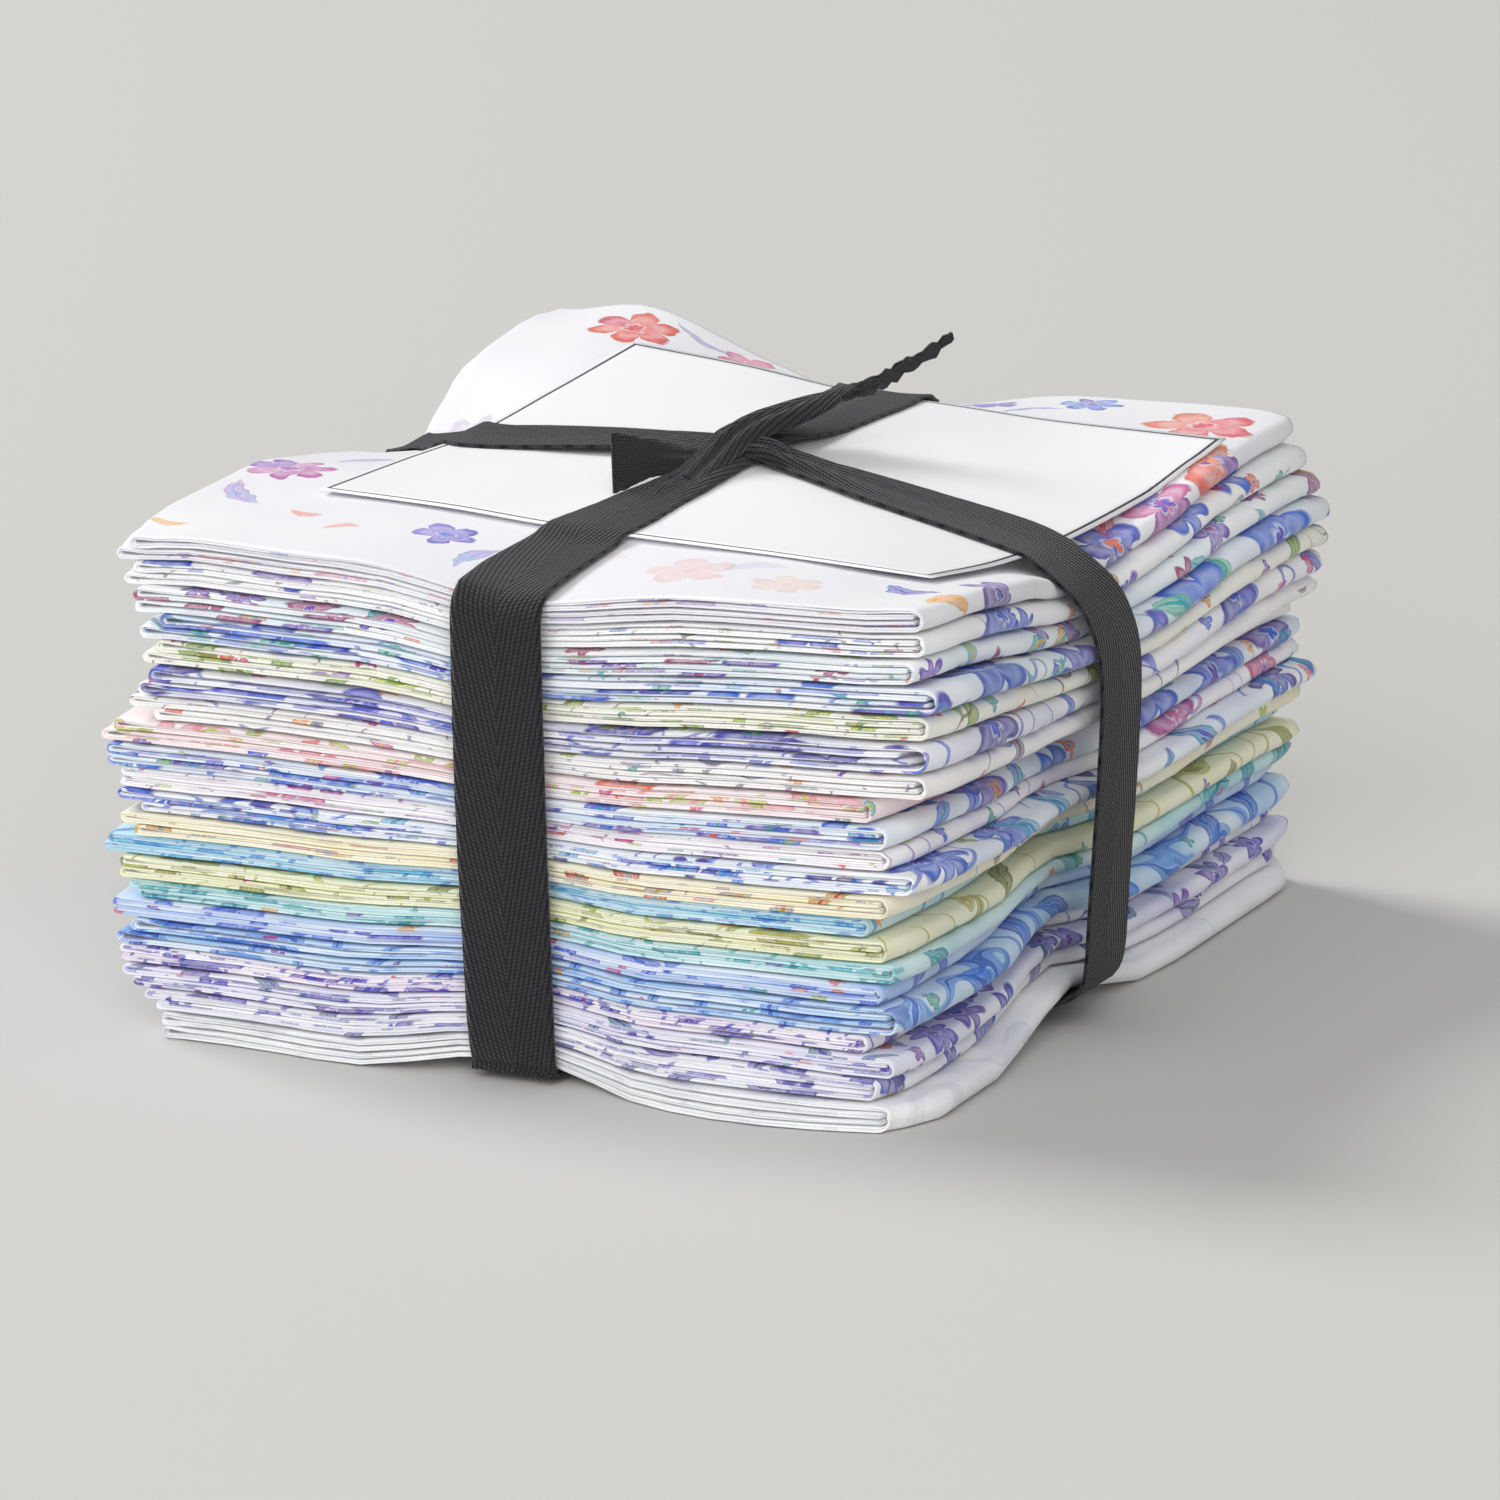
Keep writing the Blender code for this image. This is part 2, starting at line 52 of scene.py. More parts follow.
def mixValue(low, high, share):
    return low + (high - low) * share


def easeStep(value, start, end):  # 0 at start, 1 at end, smooth between
    share = min(max((value - start) / (end - start), 0.0), 1.0)
    return share * share * (3 - 2 * share)


def bump(offset, reach):  # 1 in the middle, 0 past reach, smooth
    share = min(abs(offset) / reach, 1.0)
    return (1 - share * share) ** 2


bundle = {
    "width": 140.0,  # a 550 mm cut in four
    "depth": 166.04,  # a 500 mm cut in three
    "height": 85.3,
    "gap": 0.3,
    "frontDraw": 3.0,  # how far the tape draws each face in
    "westDraw": 4.0,
    "eastDraw": 3.0,
    "drawReach": 30.0,  # to either side of the tape
    "wideReach": 45.0,
    "westTie": 24.8,  # where the tape passes down each face
    "eastTie": -11.0,
    "backTie": -7.6,
    "unevenness": 0.5,
    "tieRise": 2.9,  # how far the tape lifts what lies on it
    "tieReach": 26.0,
    "eastRise": 2.2,  # the right side is lifted more than the rest
    "footBulge": 7.0,  # the lowest cloth swells out beside the tape
}

# heights of the top face along seven lines from front to back: places in y, then z
topLines = {
    "west": (
        (-83, -37, -19, -1, 19, 28, 36, 43, 51, 66, 83),
        (84.6, 85.2, 82.6, 79.6, 76.0, 76.8, 80.6, 84.2, 86.2, 87.6, 89.4)),
    "shoulder": (
        (-83, -37, -1, 19, 28, 38, 51, 66, 83),
        (84.5, 85.1, 81.4, 78.8, 79.6, 83.2, 86.2, 88.2, 89.4)),
    "midWest": ((-83, -51, 4, 57, 83), (84.3, 85.1, 84.2, 84.8, 81.4)),
    "tie": ((-83, -70, -54, -40, -6, 20, 57, 83), (79.2, 81.4, 83.7, 85.0, 87.0, 86.0, 83.1, 76.6)),
    "midEast": ((-83, -56, -9, 57, 83), (84.0, 83.8, 83.2, 82.5, 81.4)),
    "east": ((-83, -57, -34, -15, 4, 22, 57, 83), (85.2, 83.2, 79.8, 77.8, 78.2, 79.3, 82.9, 81.8)),
    "rim": ((-83, -60, -35, -14, 5, 22, 45, 70, 83), (86.4, 84.6, 80.0, 75.6, 76.6, 79.0, 82.0, 82.2, 80.0)),
}
stationX = {"west": -70.0, "shoulder": -55.0, "midWest": -30.0, "midEast": 32.0, "east": 60.0, "rim": 72.0}
# where the tape runs on the top face: y, then x, of the long way, and x, then y, of the cross way
tieLine = ((-83, -45, -6, 50, 83), (-2.3, 2.0, 6.0, 2.6, -6.6))
crossLine = ((-70, -47, 6, 32, 63, 74), (22.0, 8.0, -6.0, -9.0, -15.5, -14.0))


def smoothRead(places, values, at, level):
    # a smooth curve through the values that never overshoots; level ends have no slope
    if at <= places[0]:
        return values[0]
    if at >= places[-1]:
        return values[-1]
    last = len(places) - 1
    i = max(k for k in range(last) if places[k] <= at)

    def steep(k):
        return (values[k + 1] - values[k]) / (places[k + 1] - places[k])

    def slope(k):
        if k in (0, last):
            return 0.0 if level else steep(0 if k == 0 else last - 1)
        before, after = steep(k - 1), steep(k)
        return 0.0 if before * after <= 0 else 2 * before * after / (before + after)

    span = places[i + 1] - places[i]
    t = (at - places[i]) / span
    start, end = values[i], values[i + 1]
    a = (2 * t**3 - 3 * t**2 + 1) * start + (t**3 - 2 * t**2 + t) * span * slope(i)
    return a + (3 * t**2 - 2 * t**3) * end + (t**3 - t**2) * span * slope(i + 1)


@lru_cache(maxsize=None)
def readTop(x, y):
    heights = [smoothRead(*topLines[line], y, False) for line in topLines]
    tieX = smoothRead(*tieLine, y, True)
    places = [tieX if line == "tie" else stationX[line] for line in topLines]
    return smoothRead(places, heights, x, True)


@lru_cache(maxsize=None)
def readUnder(x, y):  # the bundle stands on the floor, and on the tape where that passes under it
    alongTie = bump(x - smoothRead(*tieLine, y, True), bundle["tieReach"])
    crossTie = bump(y - smoothRead(*crossLine, x, True), bundle["tieReach"])
    offCross = y - smoothRead(*crossLine, x, True)
    eastTie = bump(offCross, 44 if offCross < 0 else 28) * easeStep(x, 40, 70)
    rise = bundle["tieRise"] * (alongTie + crossTie - 0.45 * alongTie * crossTie)
    return rise + bundle["eastRise"] * eastTie


def faceHeight(which, x, y):  # read on a grid of whole millimetres, and even between its points
    read = readTop if which == "top" else readUnder
    column, row = math.floor(x), math.floor(y)
    near = mixValue(read(column, row), read(column + 1, row), x - column)
    far = mixValue(read(column, row + 1), read(column + 1, row + 1), x - column)
    return mixValue(near, far, y - row)


def unevenAt(x, y, z):
    return bundle["unevenness"] * min(z / 8, 1.0) * noise.noise(Vector((x / 26, y / 30, z / 19)))


def clothTop(x, y):
    z = faceHeight("top", x, y)
    return z + unevenAt(x, y, z)


def press(x, y, z):
    # where a point of the straight stack lies once the tape has pressed it
    share = z / (bundle["height"] - bundle["gap"])
    z = mixValue(faceHeight("under", x, y), faceHeight("top", x, y), share)
    frontTie = smoothRead((0.0, 1.0), (-0.4, -2.0), share, True)
    inward = bundle["frontDraw"] * bump(x - frontTie, bundle["drawReach"]) * easeStep(-y, 50, 83)
    inwardBack = bundle["frontDraw"] * bump(x - bundle["backTie"], bundle["drawReach"]) * easeStep(y, 50, 83)
    westReach = bundle["wideReach"] if y < bundle["westTie"] else bundle["drawReach"]
    westDraw = bundle["westDraw"] * mixValue(1.0, 0.35, easeStep(share, 0.7, 1.0))
    inwardWest = westDraw * bump(y - bundle["westTie"], westReach) * easeStep(-x, 50, 70)
    inwardEast = bundle["eastDraw"] * bump(y - bundle["eastTie"], bundle["wideReach"]) * easeStep(x, 46, 70)
    z += unevenAt(x, y, z)
    x += 0.6 * noise.noise(Vector((y / 17, z / 5, 3.1))) * easeStep(abs(x), 60, 70)
    foot = 1 - easeStep(share, 0.0, 0.1)
    beside = bump(x - 44, 36) + 0.38 * bump(x + 24, 26)
    swell = bundle["footBulge"] * foot * beside * easeStep(-y, 60, 83)
    return (x + inwardWest - inwardEast, y + inward - inwardBack - swell, z)


def makeObject(name, bm, thickness=None):
    mesh = bpy.data.meshes.new(name)
    bm.to_mesh(mesh)
    bm.free()
    made = bpy.data.objects.new(name, mesh)
    bpy.context.scene.collection.objects.link(made)
    if thickness:
        thick = made.modifiers.new("thickness", "SOLIDIFY")
        thick.thickness = thickness * mm
        thick.offset = 0.0
        mesh.shade_smooth()
    return made


def makeMaterial(name, finish):
    material = bpy.data.materials.new(name)
    material.use_nodes = True
    shader = material.node_tree.nodes["Principled BSDF"]
    for label, value in finish.items():
        shader.inputs[label].default_value = value
    return material, material.node_tree, shader


def wire(tree, source, target):
    if hasattr(source, "is_output"):
        tree.links.new(source, target)
    else:
        target.default_value = source


def calc(tree, operation, a, b=None, clamp=False):
    node = tree.nodes.new("ShaderNodeMath")
    node.operation = operation
    node.use_clamp = clamp
    wire(tree, a, node.inputs[0])
    if b is not None:
        wire(tree, b, node.inputs[1])
    return node.outputs[0]


def sumOf(operation):
    return lambda tree, a, b, clamp=False: calc(tree, operation, a, b, clamp)


plus = sumOf("ADD")
minus = sumOf("SUBTRACT")
times = sumOf("MULTIPLY")
over = sumOf("DIVIDE")


def calcVector(tree, operation, a, b=None, scale=None):
    node = tree.nodes.new("ShaderNodeVectorMath")
    node.operation = operation
    wire(tree, a, node.inputs[0])
    if b is not None:
        wire(tree, b, node.inputs[1])
    if scale is not None:
        wire(tree, scale, node.inputs["Scale"])
    return node.outputs[0]


def blendColour(tree, share, a, b):
    node = tree.nodes.new("ShaderNodeMix")
    node.data_type = "RGBA"
    wire(tree, share, node.inputs[0])
    wire(tree, a, node.inputs[6])
    wire(tree, b, node.inputs[7])
    return node.outputs[2]


def addNoise(tree, vector, scale, detail=2.0, roughness=0.5):
    node = tree.nodes.new("ShaderNodeTexNoise")
    wire(tree, vector, node.inputs["Vector"])
    node.inputs["Scale"].default_value = scale
    node.inputs["Detail"].default_value = detail
    node.inputs["Roughness"].default_value = roughness
    return node.outputs["Fac"]


def splitVector(tree, vector):
    node = tree.nodes.new("ShaderNodeSeparateXYZ")
    wire(tree, vector, node.inputs[0])
    return node.outputs


def warpVector(tree, vector, fineness, amount):
    wobble = tree.nodes.new("ShaderNodeTexNoise")
    wobble.inputs["Scale"].default_value = fineness
    wire(tree, vector, wobble.inputs["Vector"])
    shift = calcVector(tree, "SUBTRACT", wobble.outputs["Color"], (0.5, 0.5, 0.5))
    return calcVector(tree, "ADD", vector, calcVector(tree, "SCALE", shift, scale=amount))


def addRelief(tree, shader, height, strength, distance):
    relief = tree.nodes.new("ShaderNodeBump")
    relief.inputs["Strength"].default_value = strength
    relief.inputs["Distance"].default_value = distance
    wire(tree, height, relief.inputs["Height"])
    wire(tree, relief.outputs[0], shader.inputs["Normal"])


def paint(colour):  # a paint-chart colour as the renderer's numbers
    parts = [int(colour[i : i + 2], 16) / 255 for i in (0, 2, 4)]
    return [part / 12.92 if part <= 0.04045 else ((part + 0.055) / 1.055) ** 2.4 for part in parts] + [1.0]


motifInputs = (
    ("Vector", "NodeSocketVector", None),
    ("Spacing", "NodeSocketVector", (20.0, 20.0, 20.0)),
    ("Seed", "NodeSocketVector", (0.0, 0.0, 0.0)),
    ("Reach", "NodeSocketFloat", 0.4),
    ("Petals", "NodeSocketFloat", 5.0),
    ("Ragged", "NodeSocketFloat", 0.12),
    ("Cover", "NodeSocketFloat", 1.0),
)
motifOutputs = ("Mask", "Shade", "Pick")  # where it is, 0 at its heart to 1 at its rim, which ink


def newGroup(name):
    group = bpy.data.node_groups.new(name, "ShaderNodeTree")
    for label, kind, value in motifInputs:
        made = group.interface.new_socket(label, in_out="INPUT", socket_type=kind)
        if value is not None:
            made.default_value = value
    for label in motifOutputs:
        group.interface.new_socket(label, in_out="OUTPUT", socket_type="NodeSocketFloat")
    return group, group.nodes.new("NodeGroupInput").outputs


def finishGroup(group, mask, shade, pick):
    result = group.nodes.new("NodeGroupOutput").inputs
    for label, value in zip(motifOutputs, (mask, shade, pick)):
        wire(group, value, result[label])
    return group


def scatterCells(group, given):
    # one motif in each cell: the place inside the cell, and the cell's own random numbers
    place = calcVector(group, "DIVIDE", given["Vector"], given["Spacing"])
    place = calcVector(group, "ADD", place, given["Seed"])
    place = warpVector(group, place, 5.0, given["Ragged"])
    cells = group.nodes.new("ShaderNodeTexVoronoi")
    cells.voronoi_dimensions = "2D"
    cells.inputs["Scale"].default_value = 1.0
    cells.inputs["Randomness"].default_value = 0.8
    wire(group, place, cells.inputs["Vector"])
    inside = splitVector(group, calcVector(group, "SUBTRACT", place, cells.outputs["Position"]))
    chance = group.nodes.new("ShaderNodeSeparateColor")
    wire(group, cells.outputs["Color"], chance.inputs[0])
    return inside, chance.outputs


def turned(group, place, angle):
    cosine = calc(group, "COSINE", angle)
    sine = calc(group, "SINE", angle)
    long = plus(group, times(group, place[0], cosine), times(group, place[1], sine))
    wide = minus(group, times(group, place[1], cosine), times(group, place[0], sine))
    return long, wide


def placedInside(group, given):
    # where a point lies in one motif of its own: Seed is its middle, Spacing its size, Cover its turn
    place = calcVector(group, "SUBTRACT", given["Vector"], given["Seed"])
    place = splitVector(group, calcVector(group, "DIVIDE", place, given["Spacing"]))
    return turned(group, place, given["Cover"])


def squared(group, value):
    return calc(group, "POWER", value, 2.0)


def farOut(group, long, wide):
    return calc(group, "SQRT", plus(group, squared(group, long), squared(group, wide)))


def crisp(group, shade, sharpness):  # 1 inside the rim, 0 outside
    return times(group, minus(group, 1.0, shade), sharpness, True)


def leafShade(group, wide, square, given, bend):
    # how far out across a pointed leaf with a bent spine
    wide = calc(group, "ABSOLUTE", plus(group, wide, times(group, square, bend)))
    half = times(group, minus(group, 1.0, square), over(group, given["Reach"], given["Petals"]))
    return over(group, wide, calc(group, "MAXIMUM", half, 0.001))


def flowerGroup():
    group, given = newGroup("flower heads")
    inside, chance = scatterCells(group, given)
    far = farOut(group, inside[0], inside[1])
    turn = plus(group, calc(group, "ARCTAN2", inside[1], inside[0]), times(group, chance[0], 6.28))
    turn = times(group, turn, times(group, given["Petals"], 0.5))
    lobes = calc(group, "ABSOLUTE", calc(group, "COSINE", turn))
    reach = times(group, given["Reach"], plus(group, times(group, lobes, 0.5), 0.5))
    reach = times(group, reach, plus(group, times(group, chance[1], 0.5), 0.6))
    shade = over(group, far, reach)
    shown = calc(group, "LESS_THAN", chance[1], given["Cover"])
    return finishGroup(group, times(group, crisp(group, shade, 9.0), shown), shade, chance[2])


def leafGroup():
    group, given = newGroup("leaves")
    inside, chance = scatterCells(group, given)
    long, wide = turned(group, inside, times(group, chance[0], 6.28))
    square = squared(group, over(group, long, given["Reach"]))
    shade = leafShade(group, wide, square, given, 0.09)
    shown = calc(group, "LESS_THAN", chance[1], given["Cover"])
    return finishGroup(group, times(group, crisp(group, shade, 7.0), shown), shade, chance[2])


def scrollGroup():
    # curling brush lines: the contours of a soft noise
    group, given = newGroup("scrolls")
    place = calcVector(group, "DIVIDE", given["Vector"], given["Spacing"])
    place = calcVector(group, "ADD", place, given["Seed"])
    rings = calc(group, "FRACT", times(group, addNoise(group, place, 1.0, 1.0), given["Petals"]))
    edge = calc(group, "ABSOLUTE", minus(group, rings, 0.5))
    swell = addNoise(group, place, 2.3, 1.0)
    shade = over(group, edge, times(group, given["Reach"], times(group, swell, 1.6)))
    covered = plus(group, times(group, given["Cover"], 0.5), 0.25)
    shown = calc(group, "LESS_THAN", addNoise(group, place, 0.7, 0.0), covered)
    return finishGroup(group, times(group, crisp(group, shade, 5.0), shown), shade, swell)


def bloomGroup():
    group, given = newGroup("one bloom")
    long, wide = placedInside(group, given)
    turn = times(group, calc(group, "ARCTAN2", wide, long), times(group, given["Petals"], 0.5))
    lobes = calc(group, "POWER", calc(group, "ABSOLUTE", calc(group, "COSINE", turn)), 0.6)
    reach = times(group, given["Reach"], plus(group, times(group, lobes, 0.6), 0.4))
    shade = over(group, farOut(group, long, wide), reach)
    petal = calc(group, "FLOOR", plus(group, over(group, turn, math.pi), 0.5))
    pick = calc(group, "FRACT", calc(group, "ABSOLUTE", times(group, petal, 0.29)))
    return finishGroup(group, crisp(group, shade, 14.0), shade, pick)


def bladeGroup():
    group, given = newGroup("one blade")
    long, wide = placedInside(group, given)
    shade = leafShade(group, wide, squared(group, long), given, 0.35)
    return finishGroup(group, crisp(group, shade, 8.0), shade, plus(group, times(group, long, 0.45), 0.5))


motifGroups = {
    "flower": flowerGroup(), "leaf": leafGroup(), "scroll": scrollGroup(),
    "bloom": bloomGroup(), "blade": bladeGroup(),
}
print("print groups made")


# how strong the ink is from a motif's heart to its rim
washTones = ((0.19, 1.0), (0.23, 0.25), (0.34, 0.85), (0.6, 0.62), (0.8, 0.95))


def paintMotif(tree, flat, wet, ground, motif):
    node = tree.nodes.new("ShaderNodeGroup")
    node.node_tree = motifGroups[motif["kind"]]
    wire(tree, flat, node.inputs["Vector"])
    node.inputs["Spacing"].default_value = [motif["spacing"]] * 3
    node.inputs["Seed"].default_value = motif.get("middle", (motif["seed"], motif["seed"] * 1.7, 0.0))
    for label in ("Reach", "Petals", "Ragged", "Cover"):
        node.inputs[label].default_value = motif[label.lower()]
    colours = [paint(ink) for ink in motif["inks"].split()]
    inks = tree.nodes.new("ShaderNodeValToRGB")  # which ink this motif takes
    inks.color_ramp.interpolation = "CONSTANT"
    inks.color_ramp.elements[0].color = colours[0]
    inks.color_ramp.elements[1].position = 1 / len(colours)
    inks.color_ramp.elements[1].color = colours[1]
    for i, colour in enumerate(colours[2:], start=2):
        inks.color_ramp.elements.new(i / len(colours)).color = colour
    shade = node.outputs["Shade"]
    heart = calc(tree, "LESS_THAN", shade, 0.2)
    pick = calc(tree, "FRACT", plus(tree, node.outputs["Pick"], times(tree, heart, 0.41)))
    wire(tree, pick, inks.inputs[0])
    wash = tree.nodes.new("ShaderNodeValToRGB")
    wash.color_ramp.elements[0].color = (0.95, 0.95, 0.95, 1)
    wash.color_ramp.elements[1].color = (1, 1, 1, 1)
    for place, tone in washTones:
        wash.color_ramp.elements.new(place).color = (tone, tone, tone, 1)
    wire(tree, shade, wash.inputs[0])
    strength = times(tree, times(tree, node.outputs["Mask"], wash.outputs[0]), wet)
    rim = times(tree, minus(tree, shade, 0.8), 5.0 * motif["outline"], True)
    ink = blendColour(tree, rim, inks.outputs[0], paint("3A3550"))
    return blendColour(tree, times(tree, strength, motif["strength"], True), ground, ink)


def motif(kind, spacing, inks, seed, reach, petals, cover, ragged=0.12, strength=1.0, outline=0.35):
    return {
        "kind": kind, "spacing": spacing, "inks": inks, "seed": seed, "reach": reach,
        "petals": petals, "ragged": ragged, "cover": cover, "strength": strength, "outline": outline,
    }


confetti = "E4572E E9A23B A8C23A 2F5BD0 7A3FB0 C8358C 2A9D97"
flower = partial(motif, "flower")
leaf = partial(motif, "leaf")
scroll = partial(motif, "scroll")


def recipe(ground, tint, blot, dots, *motifs):  # a print: its ground, how blotted, how many dots
    return {"ground": ground, "tint": tint, "blot": blot, "dots": dots, "motifs": motifs}


# each motif: spacing in millimetres, inks, seed, reach, petals, cover
printTable = (
    recipe("F3F3F6", "EAE7F0", 0.4, 0.0,
        flower(13, "D6527C 7A4CC0 E4708A", 6.2, 0.44, 5, 0.9),
        leaf(12, "F0A05A 5E78D4", 3.1, 0.4, 3, 0.6)),
    recipe("FDFDFD", "EFF1F6", 0.4, 0.4,
        flower(25, "2E57D2 8A63C8 3F6BDC", 2.4, 0.44, 6, 0.62),
        leaf(15, "8C8A3E B7B04E 6E86D4", 8.5, 0.38, 3, 0.45),
        scroll(26, "9A9A6A 8E96B8", 8.5, 0.05, 7, 0.4)),
    recipe("FCFCFD", "E3F0F6", 0.8, 0.5,
        flower(15, "A23A8E B4407A 7B4FC0", 4.2, 0.4, 7, 0.7, outline=0.7),
        leaf(13, "3FA9B8 E4B93C 69C0BE", 9.9, 0.4, 3, 0.5)),
    recipe("FBFCFE", "D5E4F6", 0.7, 0.3,
        flower(29, "1E4CC4 2B6BE0 5A55C8", 6.6, 0.48, 5, 0.9),
        leaf(17, "2FA88C 38B2B8 6FC8A8", 5.2, 0.42, 3.2, 0.7, outline=0.5),
        scroll(20, "5D6FD0 66A7CF", 1.2, 0.08, 7, 0.6)),
    recipe("FCFBF4", "F4F1DE", 0.6, 0.45,
        flower(24, "8A6AC8 D8503E B58BD8", 3.7, 0.36, 6, 0.55),
        leaf(15, "8FAE2E B9C83C 6F9A3E", 2.2, 0.42, 3, 0.7),
        scroll(24, "8A5E44 9A7A54", 6.4, 0.035, 7, 0.6)),
    recipe("FBFBFD", "DDDFF4", 0.7, 0.3,
        flower(25, "4B3FA8 5B62D6 3A3FB4", 8.8, 0.47, 5, 0.85),
        leaf(14, "7080DC 9A8CE0 2B4FC4", 5.7, 0.42, 3, 0.7),
        scroll(22, "6A62C4 4F74DC", 3.3, 0.09, 7, 0.6)),
    recipe("FDFCFB", "F0EBEC", 0.5, 0.35,
        leaf(21, "A8592E C07A48 6F7AB0", 7.9, 0.42, 3.2, 0.5),
        scroll(26, "8A6F5E 7A86B4", 6.1, 0.05, 7, 0.55)),
    recipe("FDF8F8", "F7DEE2", 0.8, 0.35,
        flower(24, "E58CA0 EFB0B8 E8704E", 2.9, 0.36, 6, 0.5),
        leaf(15, "EBA0A8 C4CE6A", 4.4, 0.36, 3, 0.4)),
    recipe("F8FBFE", "CFE1F6", 0.8, 0.35,
        flower(23, "3F5FD4 6A48B8 1F6AD8", 1.8, 0.46, 5, 0.8),
        leaf(15, "2F93B8 4C6EDC", 8.1, 0.42, 3, 0.6)),
    recipe("FDFCFD", "F4EAF3", 0.5, 0.35,
        flower(27, "B43A98 D2588E 8A4FC4", 9.3, 0.38, 6, 0.6),
        scroll(26, "8E9AD8 B474B4", 3.4, 0.05, 7, 0.5)),
    recipe("FBFCFE", "DCE8F8", 0.6, 0.3,
        flower(26, "2B3CB4 4338A8 2C62D8", 5.1, 0.46, 9, 0.9, outline=0.6),
        leaf(17, "2E9CC4 3F52C8 6AB8DC", 6.9, 0.42, 3, 0.65),
        scroll(20, "3A4CC0 5A86E0", 2.2, 0.12, 8, 0.6)),
    recipe("FDF9E8", "F8F0CC", 0.8, 0.3,
        leaf(22, "C83A34 9A98A4 C8922E", 4.9, 0.34, 3.6, 0.5),
        scroll(28, "9A9AA0 C8A04E", 2.7, 0.045, 7, 0.5)),
    recipe("DDF0F8", "A9D9EE", 1.0, 0.2,
        leaf(19, "4EA4DC 6AC0E4", 3.3, 0.42, 3, 0.55),
        scroll(24, "3F9CD6 4F86D6", 7.7, 0.1, 7, 0.7)),
    recipe("F9F8E2", "EDEFC4", 0.8, 0.25,
        leaf(16, "8A8E3A B0AE4E 6F7A3A", 1.6, 0.42, 3.2, 0.75),
        scroll(22, "9A9E4E C4BE6A", 5.5, 0.06, 7, 0.6)),
    recipe("E0F3F4", "BCE3EA", 1.0, 0.25,
        leaf(17, "3AA6B4 56B4C4 2F8FA8", 6.2, 0.44, 3, 0.8),
        scroll(22, "3FA8B0 6ABCB8", 4.7, 0.09, 7, 0.65)),
    recipe("E8F0FC", "B4CCF2", 1.0, 0.25,
        flower(21, "3F62D4 5A84E4 6A60CC", 2.1, 0.4, 5, 0.6),
        leaf(14, "3A5CD0 7080E0", 9.1, 0.42, 3, 0.7)),
    recipe("E4F1FC", "A9D0F4", 0.9, 0.2,
        scroll(28, "3C7CD8 5A98E8 3468CC", 8.3, 0.2, 7, 0.9),
        leaf(20, "3A80E0 2C64CC", 3.9, 0.42, 3, 0.5)),
    recipe("FBF8FB", "EEE2F0", 0.7, 0.4,
        leaf(15, "4A36B0 3C46C4 7A36A8", 5.8, 0.42, 2.8, 0.75, outline=0.4),
        scroll(16, "4A3AB4 4650C4", 1.4, 0.1, 7, 0.7)),
    recipe("F8F7FC", "DCD8F2", 0.7, 0.3,
        flower(14, "3A34B4 4C46C0 7248B4", 7.1, 0.46, 7, 0.85, outline=0.4),
        leaf(9, "4A44B0 7468C8 4A8A90", 2.6, 0.44, 3, 0.85)),
    recipe("F8F7FA", "E2E2EE", 0.7, 0.25,
        flower(17, "4A4AB8 6A6CC4", 4.1, 0.4, 7, 0.5),
        leaf(12, "6A6C94 7A70C0", 6.4, 0.42, 3, 0.6)),
    recipe("FBFBFC", "EDEEF1", 0.8, 0.0,
        scroll(34, "DFE0E5 D6D9E0", 9.7, 0.12, 5, 0.8, strength=0.6, outline=0.0)),
)

